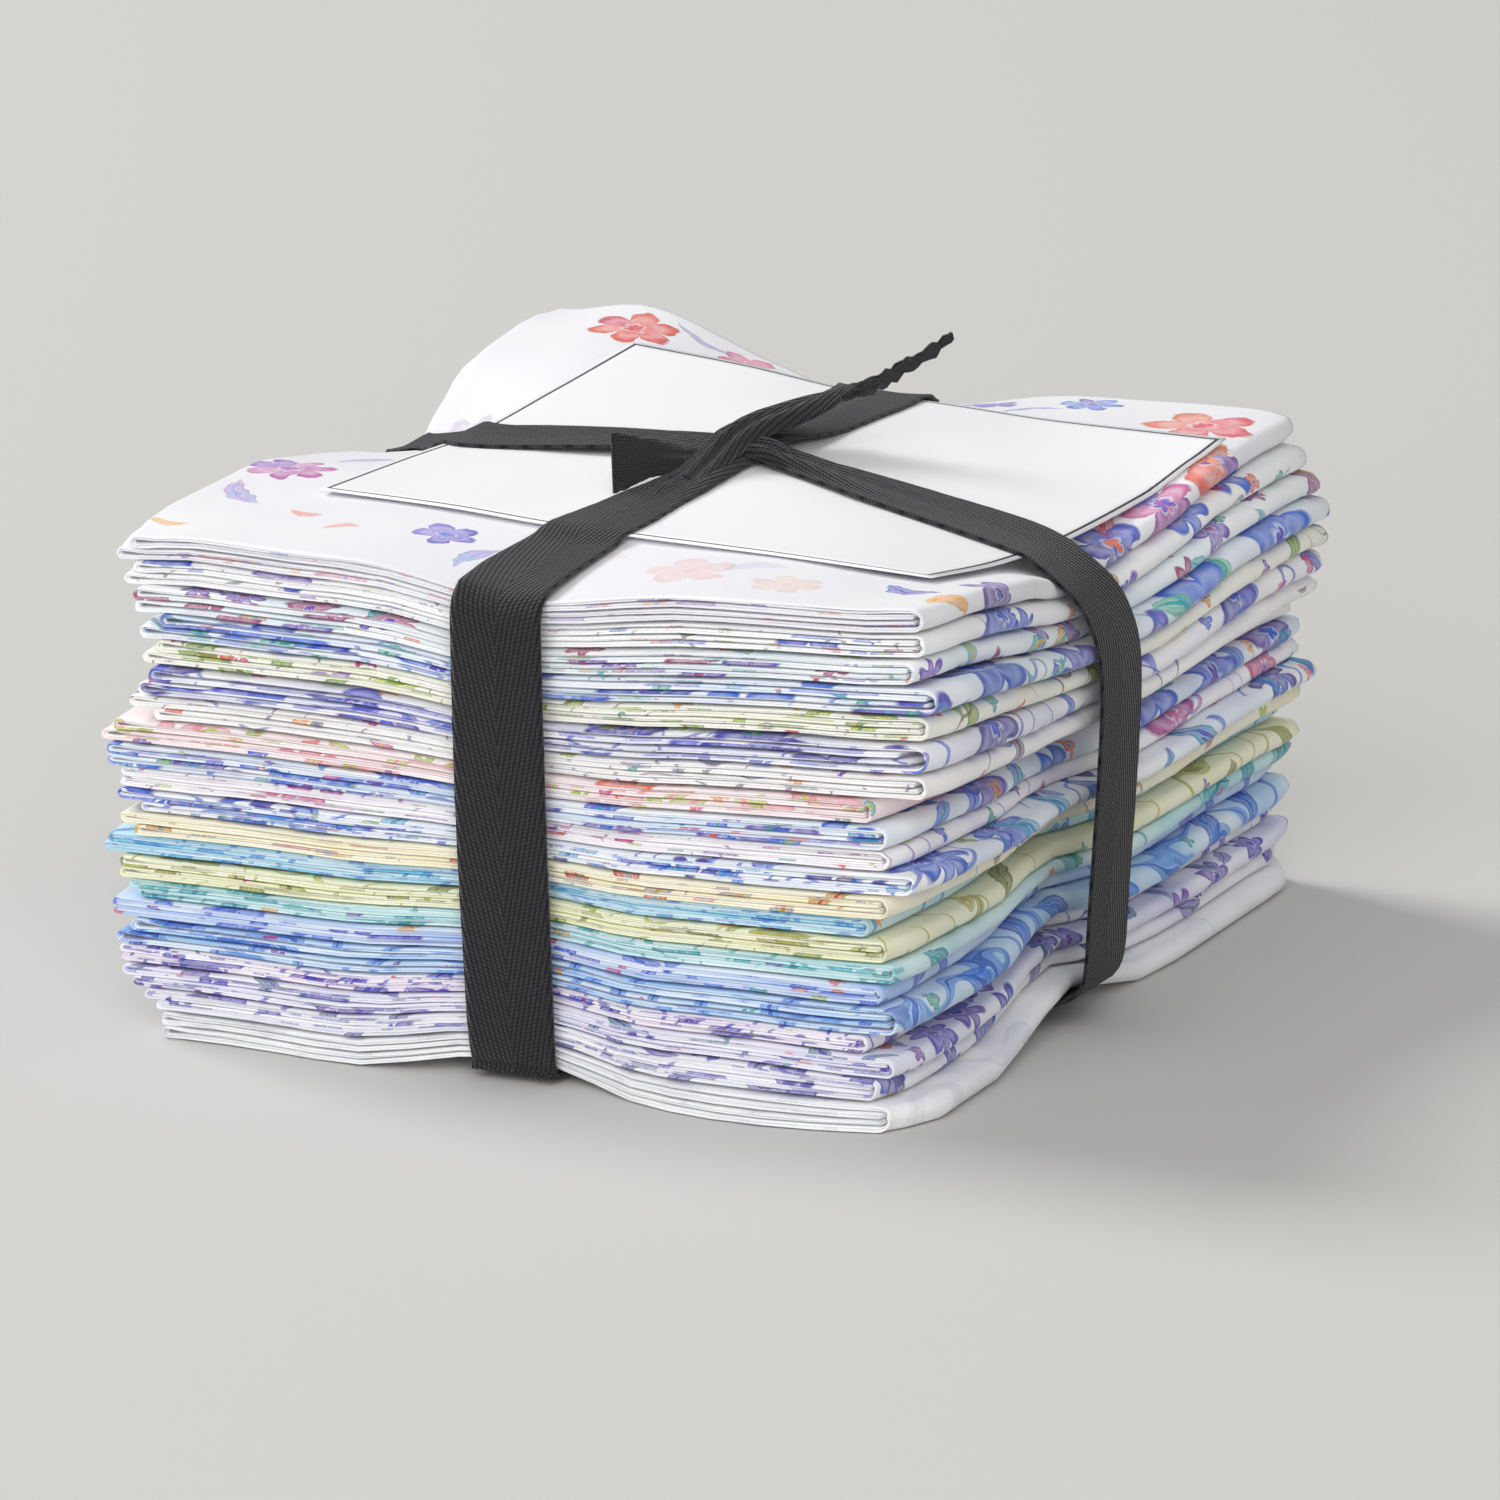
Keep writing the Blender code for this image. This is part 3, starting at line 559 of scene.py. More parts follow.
# the top cloth's own flowers and leaves: kind, x and y on the stack, size, turn, petals, strength, inks
topPrint = (
    ("bloom", -50, 71, 8.5, 0.4, 6, 1.0, "E8503C EC6E5A D8425E"),
    ("bloom", -29, 75, 6.5, 1.1, 5, 0.95, "DE4A78 E8789A C83A6A"),
    ("blade", -39, 76, 8.0, 0.25, 8, 0.8, "7F92C4 9A86C8"),
    ("blade", -17, 68, 7.0, -0.9, 7, 0.7, "8E9CC8 A89AD0"),
    ("bloom", 20, 70, 5.5, 0.2, 5, 0.95, "6A54C0 7F74D8 5A6AD4"),
    ("bloom", 37, 75, 6.0, 0.9, 6, 0.95, "5A78DC 7A94E4 6A54C0"),
    ("blade", 29, 66, 6.0, 2.3, 6, 0.8, "6A62C4 8A8AD8"),
    ("bloom", 62, 66, 11.0, 0.3, 5, 1.0, "EE5A66 F08A6A E2486E"),
    ("bloom", 71, 45, 11.5, 1.3, 6, 1.0, "F0705A 8A4CB8 F29A6E"),
    ("bloom", 72, 24, 9.5, 0.1, 7, 1.0, "A64AA8 D870A8 6A54C8"),
    ("blade", 66, 13, 9.0, 1.2, 3.4, 0.95, "E8483E F07A5E"),
    ("bloom", 73, 5, 9.0, 0.7, 5, 1.0, "3A3FB0 4A5CD0 E87A5A"),
    ("blade", 70, -9, 8.0, 2.2, 3.0, 0.8, "F0906E F4B08A"),
    ("blade", 62, -66, 6.5, 0.5, 2.6, 0.95, "4A5CC8 5A3FB0"),
    ("blade", 72, -72, 6.0, 2.0, 2.4, 0.95, "F0A030 F4B858"),
    ("bloom", 74, -55, 6.5, 0.2, 5, 0.95, "5A2F9C 7A4CB8 4A3CA8"),
    ("bloom", -63, -36, 8.5, 0.5, 7, 0.95, "C04AA8 D884C0 9A5CC4"),
    ("blade", -64, -54, 8.0, 0.9, 3.4, 0.8, "B47CD0 8A94DC"),
    ("blade", -56, -20, 7.0, 2.4, 4.0, 0.7, "6A9CD8 A88AD4"),
    ("bloom", -62, 26, 7.0, 0.9, 6, 0.4, "A89AB8 C0AECC"),
    ("blade", -47, -63, 3.6, 0.2, 3.0, 0.8, "F0735A F08A72"),
    ("blade", -38, -67, 2.8, 2.7, 2.6, 0.7, "EC6A58 F08A72"),
    ("blade", -66, -75, 4.0, 0.1, 3.0, 0.9, "F0A43C F0B860"),
    ("bloom", -21, -63, 5.8, 0.3, 5, 0.95, "6A5CD0 8A78DC 5A84DC"),
    ("blade", -14, -70, 5.5, 1.9, 3.4, 0.8, "9A84D8 7A9CE0"),
    ("bloom", 24, -66, 8.0, 0.6, 5, 0.38, "F4988A F6B49A F08A9A"),
    ("bloom", 43, -70, 6.5, 0.1, 6, 0.38, "F4B070 F6C890 F4A088"),
    ("blade", 33, -60, 6.0, 2.6, 3.0, 0.35, "A8B4E0 B8A8DC"),
    ("blade", 6, -60, 5.0, 0.6, 3.0, 0.3, "F0A8A0 F4C0A0"),
)


def topMotif(row, topRun):
    kind, x, y, size, turn, petals, strength, inks = row
    made = motif(kind, size, inks, 0.0, reach=1.0, petals=petals, ragged=0.3, cover=turn, strength=strength)
    made["middle"] = (topRun + x, (0.5 - y / bundle["depth"]) * bundle["depth"] + flatShift["y"], 0.0)
    return made


cottonFinish = {"Roughness": 0.88, "Specular IOR Level": 0.25, "Sheen Weight": 0.12, "Sheen Roughness": 0.6}
undyed = (0.92, 0.92, 0.94, 1)
flatShift = {"x": 37, "y": 61.0}  # from one cloth's flat cut to the next, so that no two prints line up


def cottonMaterial(number, recipe, side, topRun):
    # side is face, wrong side or cut edge; the ink shows through paler on the last two
    material, tree, shader = makeMaterial(f"cotton {number:02d} {side}", cottonFinish)
    flatMap = tree.nodes.new("ShaderNodeUVMap")
    flatMap.uv_map = "flatCut"
    flat = calcVector(tree, "SCALE", flatMap.outputs[0], scale=1000.0)
    blots = minus(tree, addNoise(tree, flat, 0.04, 3.0), 0.38)
    blots = times(tree, blots, 4.0 * recipe["blot"], True)
    colour = blendColour(tree, blots, paint(recipe["ground"]), paint(recipe["tint"]))
    wet = plus(tree, times(tree, addNoise(tree, flat, 0.35, 3.0), 0.7), 0.6, True)
    # the top face has its own flowers in place of the scattered ones
    onTop = number == 1 and side == "face"
    for each in () if onTop else recipe["motifs"]:
        colour = paintMotif(tree, flat, wet, colour, each)
    if onTop:
        warped = warpVector(tree, flat, 0.25, 3.2)
        for row in topPrint:
            colour = paintMotif(tree, warped, wet, colour, topMotif(row, topRun))
    if recipe["dots"]:
        dots = motif(
            "flower", 11, confetti, number * 1.37, reach=0.26, petals=4, ragged=0.25, cover=recipe["dots"],
            outline=0.0)
        colour = paintMotif(tree, flat, wet, colour, dots)
    if side == "wrong side":
        colour = blendColour(tree, 0.5, colour, undyed)
    if side == "cut edge":
        fray = times(tree, addNoise(tree, flat, 3.0, 2.0), 0.35)
        colour = blendColour(tree, plus(tree, 0.1, fray), colour, undyed)
    wire(tree, colour, shader.inputs["Base Color"])
    threads = []
    for direction in ("X", "Y"):
        wave = tree.nodes.new("ShaderNodeTexWave")
        wave.bands_direction = direction
        wave.inputs["Scale"].default_value = 0.55
        wave.inputs["Distortion"].default_value = 0.4
        wire(tree, flat, wave.inputs["Vector"])
        threads.append(wave.outputs["Fac"])
    weave = times(tree, threads[0], threads[1])
    addRelief(tree, shader, plus(tree, weave, addNoise(tree, flat, 0.5, 3.0)), 0.35, 0.00006)
    return material


folding = {
    "clothThick": 0.2,
    "loopPitch": 0.235,  # plies close up round a loop
    "runSteps": 16,
    "topRunSteps": 44,
    "loopNeck": 6.0,
    "plyPitch": 0.24,  # plies of one layer lie close, with a little room between layers
    "rawReach": 0.35,  # how far the raw ends reach into the closed fold
    "edgeWander": 0.9,
    "cornerRound": 1.4,
    "footRound": 3.4,  # more at the lowest cloths
    "leftInset": 2.6,  # the top cloths' left ends lie further in, and droop
    "leftDroop": 1.4,
}

# room in the stack, then how far each end stands out: upper and lower loop, closed fold at its
# front and back corner, and the layer ends at the front and back faces
quarterColumns = ("thick", "loopHigh", "loopLow", "foldFront", "foldBack", "front", "back")
quarterTable = (
    (4.6, 0.4, 2.9, 4.0, -1.6, 0.4, 0.5),
    (4.4, 0.2, 1.9, 4.1, 0.9, -0.6, -0.5),
    (4.4, -1.1, -1.5, 2.6, 3.3, 0.6, 0.8),
    (4.8, -6.4, -2.2, 6.6, 4.9, 0.0, 1.0),
    (4.3, -5.3, -2.7, 4.9, 4.6, -0.8, 0.2),
    (5.2, -4.4, -2.6, 4.9, 3.8, 0.5, -0.6),
    (4.2, -0.4, -4.9, 4.6, 2.4, -0.4, 0.4),
    (4.1, 2.7, 4.6, -5.1, -1.6, 0.3, -1.0),
    (4.1, 3.6, 3.7, -2.6, -0.4, 0.8, 0.3),
    (3.6, 1.7, 1.7, -2.4, -0.4, -0.5, 0.7),
    (3.7, 1.9, -2.6, 2.6, 2.2, 0.2, 1.0),
    (4.0, 1.5, -1.0, -2.2, 0.7, 0.7, 0.0),
    (3.4, 4.2, 4.9, -6.4, -4.0, -0.7, -0.8),
    (3.9, 1.4, 1.4, -2.0, -0.7, 0.4, 0.3),
    (3.3, 0.0, -1.5, -0.7, -2.2, -0.2, 0.6),
    (3.3, 3.3, 3.0, -3.3, -5.0, 0.6, -0.7),
    (5.0, -1.1, 1.5, 0.7, -1.8, 0.9, 0.4),
    (3.2, 1.9, 1.5, -6.0, -5.0, 0.0, -0.3),
    (3.7, 1.0, -0.7, -0.4, -2.0, 0.8, 0.5),
    (3.5, -2.0, -4.6, -2.0, -3.0, 1.1, 0.2),
    (4.6, -5.0, -5.5, 3.5, -0.5, 1.4, 0.8),
)


def loopPoints(tipX, centreZ, spacing, bulge, runPitch):
    # a teardrop loop, entered along its lower layer: x, z and ply pitch
    lower = []
    for back in (5.0, 3.6, 2.4, 1.4):
        open_ = 1 - easeStep(back, bulge, folding["loopNeck"])
        half = mixValue(spacing, bulge, open_)
        lower.append((tipX + max(back, bulge), half, mixValue(runPitch, folding["loopPitch"], open_)))
    points = [(x, centreZ - half, pitch) for x, half, pitch in lower]
    for i in range(9):
        angle = math.radians(270 - 22.5 * i)
        x, z = tipX + bulge + bulge * math.cos(angle), centreZ + bulge * math.sin(angle)
        points.append((x, z, folding["loopPitch"]))
    points += [(x, centreZ + half, pitch) for x, half, pitch in reversed(lower)]
    return points


def runPoints(start, end, z, steps, pitch):
    return [(mixValue(start, end, i / steps), z, pitch) for i in range(steps + 1)]


def foldPath(quarter, floor, end, steps):
    # the middle line of the folded strip at its front (0) or back (1) face
    tall = quarter["thick"] - bundle["gap"]
    layer = tall / 4
    pitch = min((layer - 0.02) / 3, folding["plyPitch"])
    level = [floor + layer * (i + 0.5) for i in range(4)]
    foldTip = bundle["width"] / 2 + mixValue(quarter["foldFront"], quarter["foldBack"], end)
    radius = 1.5 * layer
    foldX = foldTip - radius - pitch - folding["clothThick"] / 2
    rawHigh = foldX + folding["rawReach"] - quarter["rawShort"]
    rawLow = foldX + folding["rawReach"] - quarter["rawShort"] * 0.4
    bulge = min(layer - folding["loopPitch"] - folding["clothThick"] / 2, 0.85)
    reachOut = bundle["width"] / 2 - folding["loopPitch"] - folding["clothThick"] / 2
    highTip = -reachOut - quarter["loopHigh"]
    lowTip = -reachOut - quarter["loopLow"]
    neck = folding["loopNeck"]
    points = runPoints(rawHigh, highTip + neck, level[2], folding["runSteps"], pitch)
    points += loopPoints(highTip, (level[2] + level[3]) / 2, layer / 2, bulge, pitch)
    points += runPoints(highTip + neck, foldX, level[3], steps, pitch)
    for i in range(1, 10):
        angle = math.radians(90 - 18 * i)
        points.append((foldX + radius * math.cos(angle), level[0] + radius + radius * math.sin(angle), pitch))
    points += runPoints(foldX, lowTip + neck, level[0], folding["runSteps"], pitch)
    points += loopPoints(lowTip, (level[0] + level[1]) / 2, layer / 2, bulge, pitch)
    points += runPoints(lowTip + neck, rawLow, level[1], folding["runSteps"], pitch)
    return points


def plyRows(steps):
    # the strip's own fold in three: place from front to back, which ply, and how far past the face
    rows = []
    nearEnds = (0.0, 0.006, 0.02, 0.05)
    inner = [mixValue(0.1, 0.9, i / steps) for i in range(steps + 1)]
    across = list(nearEnds) + inner + [1 - share for share in reversed(nearEnds)]
    for ply in range(3):
        towardsFront = ply % 2 == 0
        for share in reversed(across) if towardsFront else across:
            rows.append((share, 1.0 - ply, 0.0))
        if ply < 2:
            face = 0.0 if towardsFront else 1.0
            for turn in (0.2, 0.5, 0.8):
                rows.append((face, 1.0 - ply - turn, 0.32 * math.sin(math.pi * turn)))
    return rows


def cutLengths(points):
    lengths = [0.0]
    for before, after in zip(points, points[1:]):
        lengths.append(lengths[-1] + (Vector(after) - Vector(before)).length)
    return lengths


def foldCloth(number, quarter, floor):
    isTop = number == 1
    steps = folding["topRunSteps"] if isTop else folding["runSteps"]
    ends = [foldPath(quarter, floor, end, steps) for end in (0.0, 1.0)]
    rows = plyRows(30 if isTop else 10)
    along = cutLengths([(x, 0.0, z) for x, z, pitch in ends[0]])
    across = cutLengths([(share * bundle["depth"], turn * 0.3, out) for share, turn, out in rows])
    columns = len(ends[0])
    bm = bmesh.new()
    bmesh.ops.create_grid(bm, x_segments=columns - 1, y_segments=len(rows) - 1, size=0.5)
    flatCut = bm.loops.layers.uv.new("flatCut")
    cell = {}
    for vert in bm.verts:
        column, row = (vert.co.x + 0.5) * (columns - 1), (vert.co.y + 0.5) * (len(rows) - 1)
        cell[vert.index] = (round(column), round(row))
    for face in bm.faces:
        for loop in face.loops:
            column, row = cell[loop.vert.index]
            u, v = along[column] + number * flatShift["x"], across[row] + number * flatShift["y"]
            loop[flatCut].uv = (u * mm, v * mm)
    for vert in bm.verts:
        column, row = cell[vert.index]
        share, ply, out = rows[row]
        here = mixValue(Vector(ends[0][column]), Vector(ends[1][column]), share)
        before = Vector(ends[0][max(column - 1, 0)])
        after = Vector(ends[0][min(column + 1, columns - 1)])
        heading = Vector((after.x - before.x, after.y - before.y)).normalized()
        x = here.x - heading.y * ply * here.z
        z = here.y + heading.x * ply * here.z
        nearEnd = min(share, 1 - share) * bundle["depth"]
        atSide = easeStep(abs(x), 55, 70) * (1 if x > 0 else -0.6)
        topLeft = easeStep(-x, 55, 70) * (1 - easeStep(number, 1, 5))
        rounding = folding["cornerRound"] + folding["footRound"] * (1 - easeStep(floor, 0, 9))
        x -= rounding * (1 - easeStep(nearEnd, 0, 7)) * atSide
        x += 0.9 * noise.noise(Vector((share * 6.0, number * 4.3, 1.7))) * abs(atSide)
        face = 0 if share < 0.5 else 1
        spot = Vector((x / 24, round(ply) * 5.3 + face * 9.1, z * 1.1 + number))
        wander = folding["edgeWander"] * noise.noise(spot)
        standing = quarter["front"] if face == 0 else quarter["back"]
        reach = (share - 0.5) * bundle["depth"]
        out += standing + wander - folding["leftInset"] * topLeft
        reach += out * (-1 if face == 0 else 1) * (1 - easeStep(nearEnd, 0, 12))
        z -= folding["leftDroop"] * topLeft * (1 - easeStep(nearEnd, 0, 16))
        vert.co = toScene(press(x, reach, z))
    bmesh.ops.recalc_face_normals(bm, faces=bm.faces)
    bm.normal_update()
    probe = next(f for f in bm.faces if all(cell[v.index][1] < 3 for v in f.verts)
                 and all(abs(cell[v.index][0] - columns * 0.42) < 3 for v in f.verts))
    if probe.normal.z < 0:
        bmesh.ops.reverse_faces(bm, faces=bm.faces)
    cloth = makeObject(f"folded_cotton_{number:02d}", bm, folding["clothThick"])
    topStart = next(i for i, point in enumerate(ends[0]) if i > 30 and point[0] > -60)
    topRun = along[topStart] - ends[0][topStart][0] + number * flatShift["x"]
    for side in ("face", "wrong side", "cut edge"):
        cloth.data.materials.append(cottonMaterial(number, printTable[number - 1], side, topRun))
    thick = cloth.modifiers["thickness"]
    thick.material_offset = 1
    thick.material_offset_rim = 2
    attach(cloth, "root")
    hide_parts(f"fat_quarter_{number:02d}")
    return cloth


floor = bundle["height"]
for number, row in enumerate(quarterTable, start=1):
    quarter = dict(zip(quarterColumns, row))
    quarter["rawShort"] = 3.6 if number == 6 else 1.1 * abs(noise.noise(Vector((number * 2.7, 0.4, 0.9))))
    floor -= quarter["thick"]
    foldCloth(number, quarter, floor)
print("cloths folded:", len(quarterTable))

card = {
    "wide": 112.0,
    "deep": 110.0,
    "centre": (8.2, 1.75),
    "turn": math.radians(-2.6),
    "thick": 0.3,
    "clear": 0.35,
    "lipReach": 6,  # how far past its edge the card holds the tape up
    "cells": 44,
    "ruleInset": 1.1,
    "ruleWide": 0.6,
}
# how high the stiff card lies: rows from front to back, each from left to right
cardAcross = (-1.0, -0.6, -0.2, 0.1, 0.45, 1.0)
cardRows = (
    (-1.0, (86.0, 85.7, 84.7, 84.5, 84.4, 83.8)),
    (-0.5, (85.2, 85.8, 85.4, 85.2, 84.2, 80.4)),
    (-0.1, (84.4, 85.9, 87.0, 86.7, 83.7, 79.2)),
    (0.45, (86.1, 86.5, 86.6, 86.1, 84.1, 79.9)),
    (1.0, (88.3, 86.6, 84.2, 83.8, 83.2, 83.5)),
)


def cardPlace(u, v):  # u and v from -1 to 1 across the card
    cosine, sine = math.cos(card["turn"]), math.sin(card["turn"])
    right, back = card["wide"] / 2 * u, card["deep"] / 2 * v
    x, y = card["centre"]
    return (x + right * cosine - back * sine, y + right * sine + back * cosine)


def onCard(x, y):  # the inverse of cardPlace
    dx, dy = x - card["centre"][0], y - card["centre"][1]
    cosine, sine = math.cos(card["turn"]), math.sin(card["turn"])
    return (dx * cosine + dy * sine) / (card["wide"] / 2), (dy * cosine - dx * sine) / (card["deep"] / 2)


def cardHeight(u, v):
    heights = [smoothRead(cardAcross, row, u, False) for place, row in cardRows]
    z = smoothRead([place for place, row in cardRows], heights, v, False)
    return max(z, clothTop(*cardPlace(u, v)) + card["clear"])


def surfaceUnderTape(x, y):
    z = clothTop(x, y)
    u, v = onCard(x, y)
    beyond = max((abs(u) - 1) * card["wide"] / 2, (abs(v) - 1) * card["deep"] / 2, 0.0)
    if beyond < card["lipReach"]:
        u, v = min(max(u, -1.0), 1.0), min(max(v, -1.0), 1.0)
        lift = max(cardHeight(u, v) + card["thick"] / 2 - clothTop(*cardPlace(u, v)), 0.0)
        z += lift * (1 - easeStep(beyond, 0, card["lipReach"]))
    return z


cardFinish = {"Roughness": 0.55, "Specular IOR Level": 0.3}


def layCard():
    cells = card["cells"]
    bm = bmesh.new()
    bmesh.ops.create_grid(bm, x_segments=cells, y_segments=cells, size=1.0)
    cardMap = bm.loops.layers.uv.new("cardFace")
    for face in bm.faces:
        for loop in face.loops:
            loop[cardMap].uv = (loop.vert.co.x, loop.vert.co.y)
    for vert in bm.verts:
        u, v = vert.co.x, vert.co.y
        vert.co = toScene((*cardPlace(u, v), cardHeight(u, v)))
    bmesh.ops.recalc_face_normals(bm, faces=bm.faces)
    sheet = makeObject("bare_card", bm, card["thick"])
    material, tree, shader = makeMaterial("white card with a ruled line", cardFinish)
    faceMap = tree.nodes.new("ShaderNodeUVMap")
    faceMap.uv_map = "cardFace"
    parts = splitVector(tree, faceMap.outputs[0])
    out = calc(tree, "MAXIMUM", calc(tree, "ABSOLUTE", parts[0]), calc(tree, "ABSOLUTE", parts[1]))
    line = 1 - card["ruleInset"] / (card["wide"] / 2)
    offLine = calc(tree, "ABSOLUTE", minus(tree, out, line))
    ruled = calc(tree, "LESS_THAN", offLine, card["ruleWide"] / card["wide"])
    fibre = addNoise(tree, faceMap.outputs[0], 60.0, 3.0)
    stock = blendColour(tree, fibre, paint("FDFDFF"), paint("F9F9FC"))
    wire(tree, blendColour(tree, ruled, stock, paint("55565C")), shader.inputs["Base Color"])
    addRelief(tree, shader, fibre, 0.1, 0.00005)
    sheet.data.materials.append(material)
    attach(sheet, "root")
    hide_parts("label_card")
    return sheet


layCard()
print("card laid")

tape = {
    "wide": 16.0,
    "thick": 0.55,
    "step": 1.5,
    "cellsAcross": 18,
    "clear": 0.12,
    "edgeWander": 0.14,
    "ravelNarrow": 0.85,  # how ragged a free end is
    "ravelWide": 0.06,
    "twillPitch": 0.9,
    "twillLean": 0.22,
}

# along each way: x, y, z of the tape's middle, half its width, how far its edges rise, and how
# much it is bunched into lengthwise folds, the last two 0 where they are left out
longWay = (
    (6.8, -5, 88.6, 3.8, 0, 0.8), (6.2, -12, 88.2, 3.8, 0, 0.8), (5.2, -20, 87.4, 4.3, 0.2, 0.7),
    (3.8, -28, 86.5, 5, 0.3, 0.5), (2, -36, 85.6, 5.9, 0.4, 0.25), (0.4, -48, 84.6, 7, 0.3, 0.1),
    (-1, -60, 83.4, 7.6, 0.3), (-2.2, -70, 82, 8, 0.4), (-2.5, -77, 81, 8, 0.6),
    (-2.5, -81.6, 79.7, 8, 0.6), (-2.4, -83.6, 77.4, 8, 0.2), (-2.2, -84, 72, 8), (-1.4, -84.2, 45, 8),
    (-0.2, -84.2, 18, 7.8), (0.6, -84.4, 6, 7.6), (0.8, -83.6, 2.6, 7.4), (1, -81, 1, 7.2),
    (3, -45, 0.7, 7.6), (6, -6, 0.7, 7.6), (-1.5, 50, 0.7, 7.6), (-7.2, 81, 0.8, 7.2),
    (-7.6, 83.2, 2.4, 7.2), (-7.6, 83.8, 6, 7.6), (-7.6, 83.6, 24, 8), (-7.6, 83.6, 52, 8),
    (-7.4, 83.4, 69, 8), (-6.8, 82.9, 74.8, 8, 0.2), (-5.6, 80.6, 77.2, 8, 0.4),
    (-3.2, 74, 79.6, 8, 0.4), (-0.4, 66, 82.2, 8, 0.4), (2.2, 57, 84.3, 8, 0.3), (3.6, 48, 84.9, 8, 0.3),
    (4.9, 35, 85.4, 7.8, 0.3), (5.4, 22, 86.4, 7.4, 0.3, 0.15), (5.8, 12, 87.5, 6.6, 0.2, 0.4),
    (6.2, 4, 88.6, 5.2, 0, 0.7), (6.8, -3, 88.8, 4.2, 0, 0.8),
)
crossWay = (
    (9, -6.4, 88.6, 4, 0, 0.7), (2, -5.2, 88.6, 4.8, 0, 0.6), (-6, -4.6, 88.3, 6, 0.2, 0.4),
    (-16, -4.2, 87.6, 7, 0.3, 0.2), (-25, -3.6, 86.8, 7.6, 0.3, 0.1), (-35, -3, 85.8, 8, 0.3),
    (-44, -2.6, 84.8, 8, 0.3), (-50, 1, 83, 8, 0.2), (-57, 7.5, 80.4, 8, 0.2), (-64, 14.5, 77.8, 8, 0.3),
    (-69, 19.6, 76.1, 8, 0.3), (-72, 22.2, 73.6, 8, 0.2), (-73.6, 24.4, 66, 8), (-73.8, 25, 50, 8),
    (-73.8, 25, 24, 8), (-72.8, 24.8, 8, 7.6), (-71, 24.6, 3, 7.4), (-68.4, 24.2, 1.2, 7.4),
    (-58, 23, 0.9, 7.6), (-30, 10.6, 0.9, 7.6), (-12, 1.8, 1.3, 7.4), (-4, -1.7, 2, 7.2), (6, -6, 2, 7),
    (16, -6.4, 2, 7.2), (24, -7, 1.3, 7.4), (46, -9.6, 1.2, 7.4), (58, -11, 2.2, 7.4),
    (65, -11.8, 3.4, 7.4), (70, -12.2, 5, 7.6), (72.8, -12.6, 7.6, 7.8), (74, -13, 12, 8),
    (74.4, -12.8, 20, 8), (74.6, -12, 28, 8), (74.8, -10.4, 41, 8), (74.8, -9, 54, 8),
    (74.6, -9.4, 62, 8, 0.2), (74, -11.4, 67.4, 8, 0.4), (72.8, -14.4, 72.4, 8, 0.5),
    (69.4, -16.2, 76.4, 8, 0.5), (63.2, -15.6, 79.9, 8, 0.4), (55, -13.6, 81.6, 8, 0.3),
    (43, -11, 83.1, 7.6, 0.3, 0.1), (32, -9, 84.6, 7, 0.3, 0.3), (24, -8.2, 86, 6, 0.2, 0.5),
    (18, -8, 87.1, 5, 0.1, 0.7), (12, -7.6, 88.2, 4.2, 0, 0.8), (8, -6.8, 88.6, 4, 0, 0.7),
)


def smoothPath(stops, step):
    # a smooth curve through the stops, with a point every step or so
    stops = [tuple(stop) + (0.0,) * (6 - len(stop)) for stop in stops]
    path = []
    for i in range(len(stops) - 1):
        four = [Vector(stops[min(max(i + k, 0), len(stops) - 1)]) for k in (-1, 0, 1, 2)]
        span = (four[2] - four[1])[0:3]
        count = max(int(Vector(span).length / step), 2)
        for k in range(count):
            t = k / count
            weights = (
                (-t + 2 * t**2 - t**3) / 2, (2 - 5 * t**2 + 3 * t**3) / 2,
                (t + 4 * t**2 - 3 * t**3) / 2, (t**3 - t**2) / 2)
            path.append([sum(weight * point[j] for weight, point in zip(weights, four)) for j in range(6)])
    path.append(list(stops[-1]))
    return path


def layTape(bm, tapeMap, path, sideways, startAt, hug):
    # one run of tape: a grid across its width, lying on what is under it where hug says so
    cells = tape["cellsAcross"]
    made = bmesh.ops.create_grid(bm, x_segments=len(path) - 1, y_segments=cells, size=0.5)["verts"]
    lengths = cutLengths([point[0:3] for point in path])
    places = {}
    for vert in made:
        side = round((vert.co.y + 0.5) * cells) / cells * 2 - 1
        places[vert] = (round((vert.co.x + 0.5) * (len(path) - 1)), side)
    faces = {face for vert in made for face in vert.link_faces}
    for face in faces:
        for loop in face.loops:
            i, side = places[loop.vert]
            loop[tapeMap].uv = ((startAt + lengths[i]) * mm, side * 0.5 + 0.5)
    for vert in made:
        i, side = places[vert]
        x, y, z, half, rise, bunch = path[i]
        across, up = sideways(path, i)
        pleat = bunch * (2.0 * (1 - side * side) + 0.55 * math.cos(side * 8.0 + lengths[i] * 0.05))
        frayed = 1.0
        if not hug:
            rise = 0.0
            ravel = tape["ravelNarrow"] if path[-1][3] < 2 else tape["ravelWide"]
            ravel *= easeStep(lengths[i] / lengths[-1], 0.5, 0.8)
            frayed += ravel * noise.noise(Vector((lengths[i] * 0.9, side, 0.3)))
        edge = tape["edgeWander"] * noise.noise(Vector((lengths[i] * 1.7, startAt + side * 5, 0.0)))
        point = Vector((x, y, z)) + across * (half * side * frayed + edge * side)
        point += up * (rise * side * side + pleat)
        if z > 60:
            lying = surfaceUnderTape(point.x, point.y) + tape["clear"] + tape["thick"] / 2
            onTop = max(abs(point.x) - 69, abs(point.y) - 81) < 0
            if onTop:
                point.z = max(point.z, lying + max(pleat, 0.0) * 0.5)
        vert.co = toScene(point)
    return lengths[-1]


def fixedAcross(direction):
    return lambda path, i: (Vector(direction), Vector((0, 0, 1)))


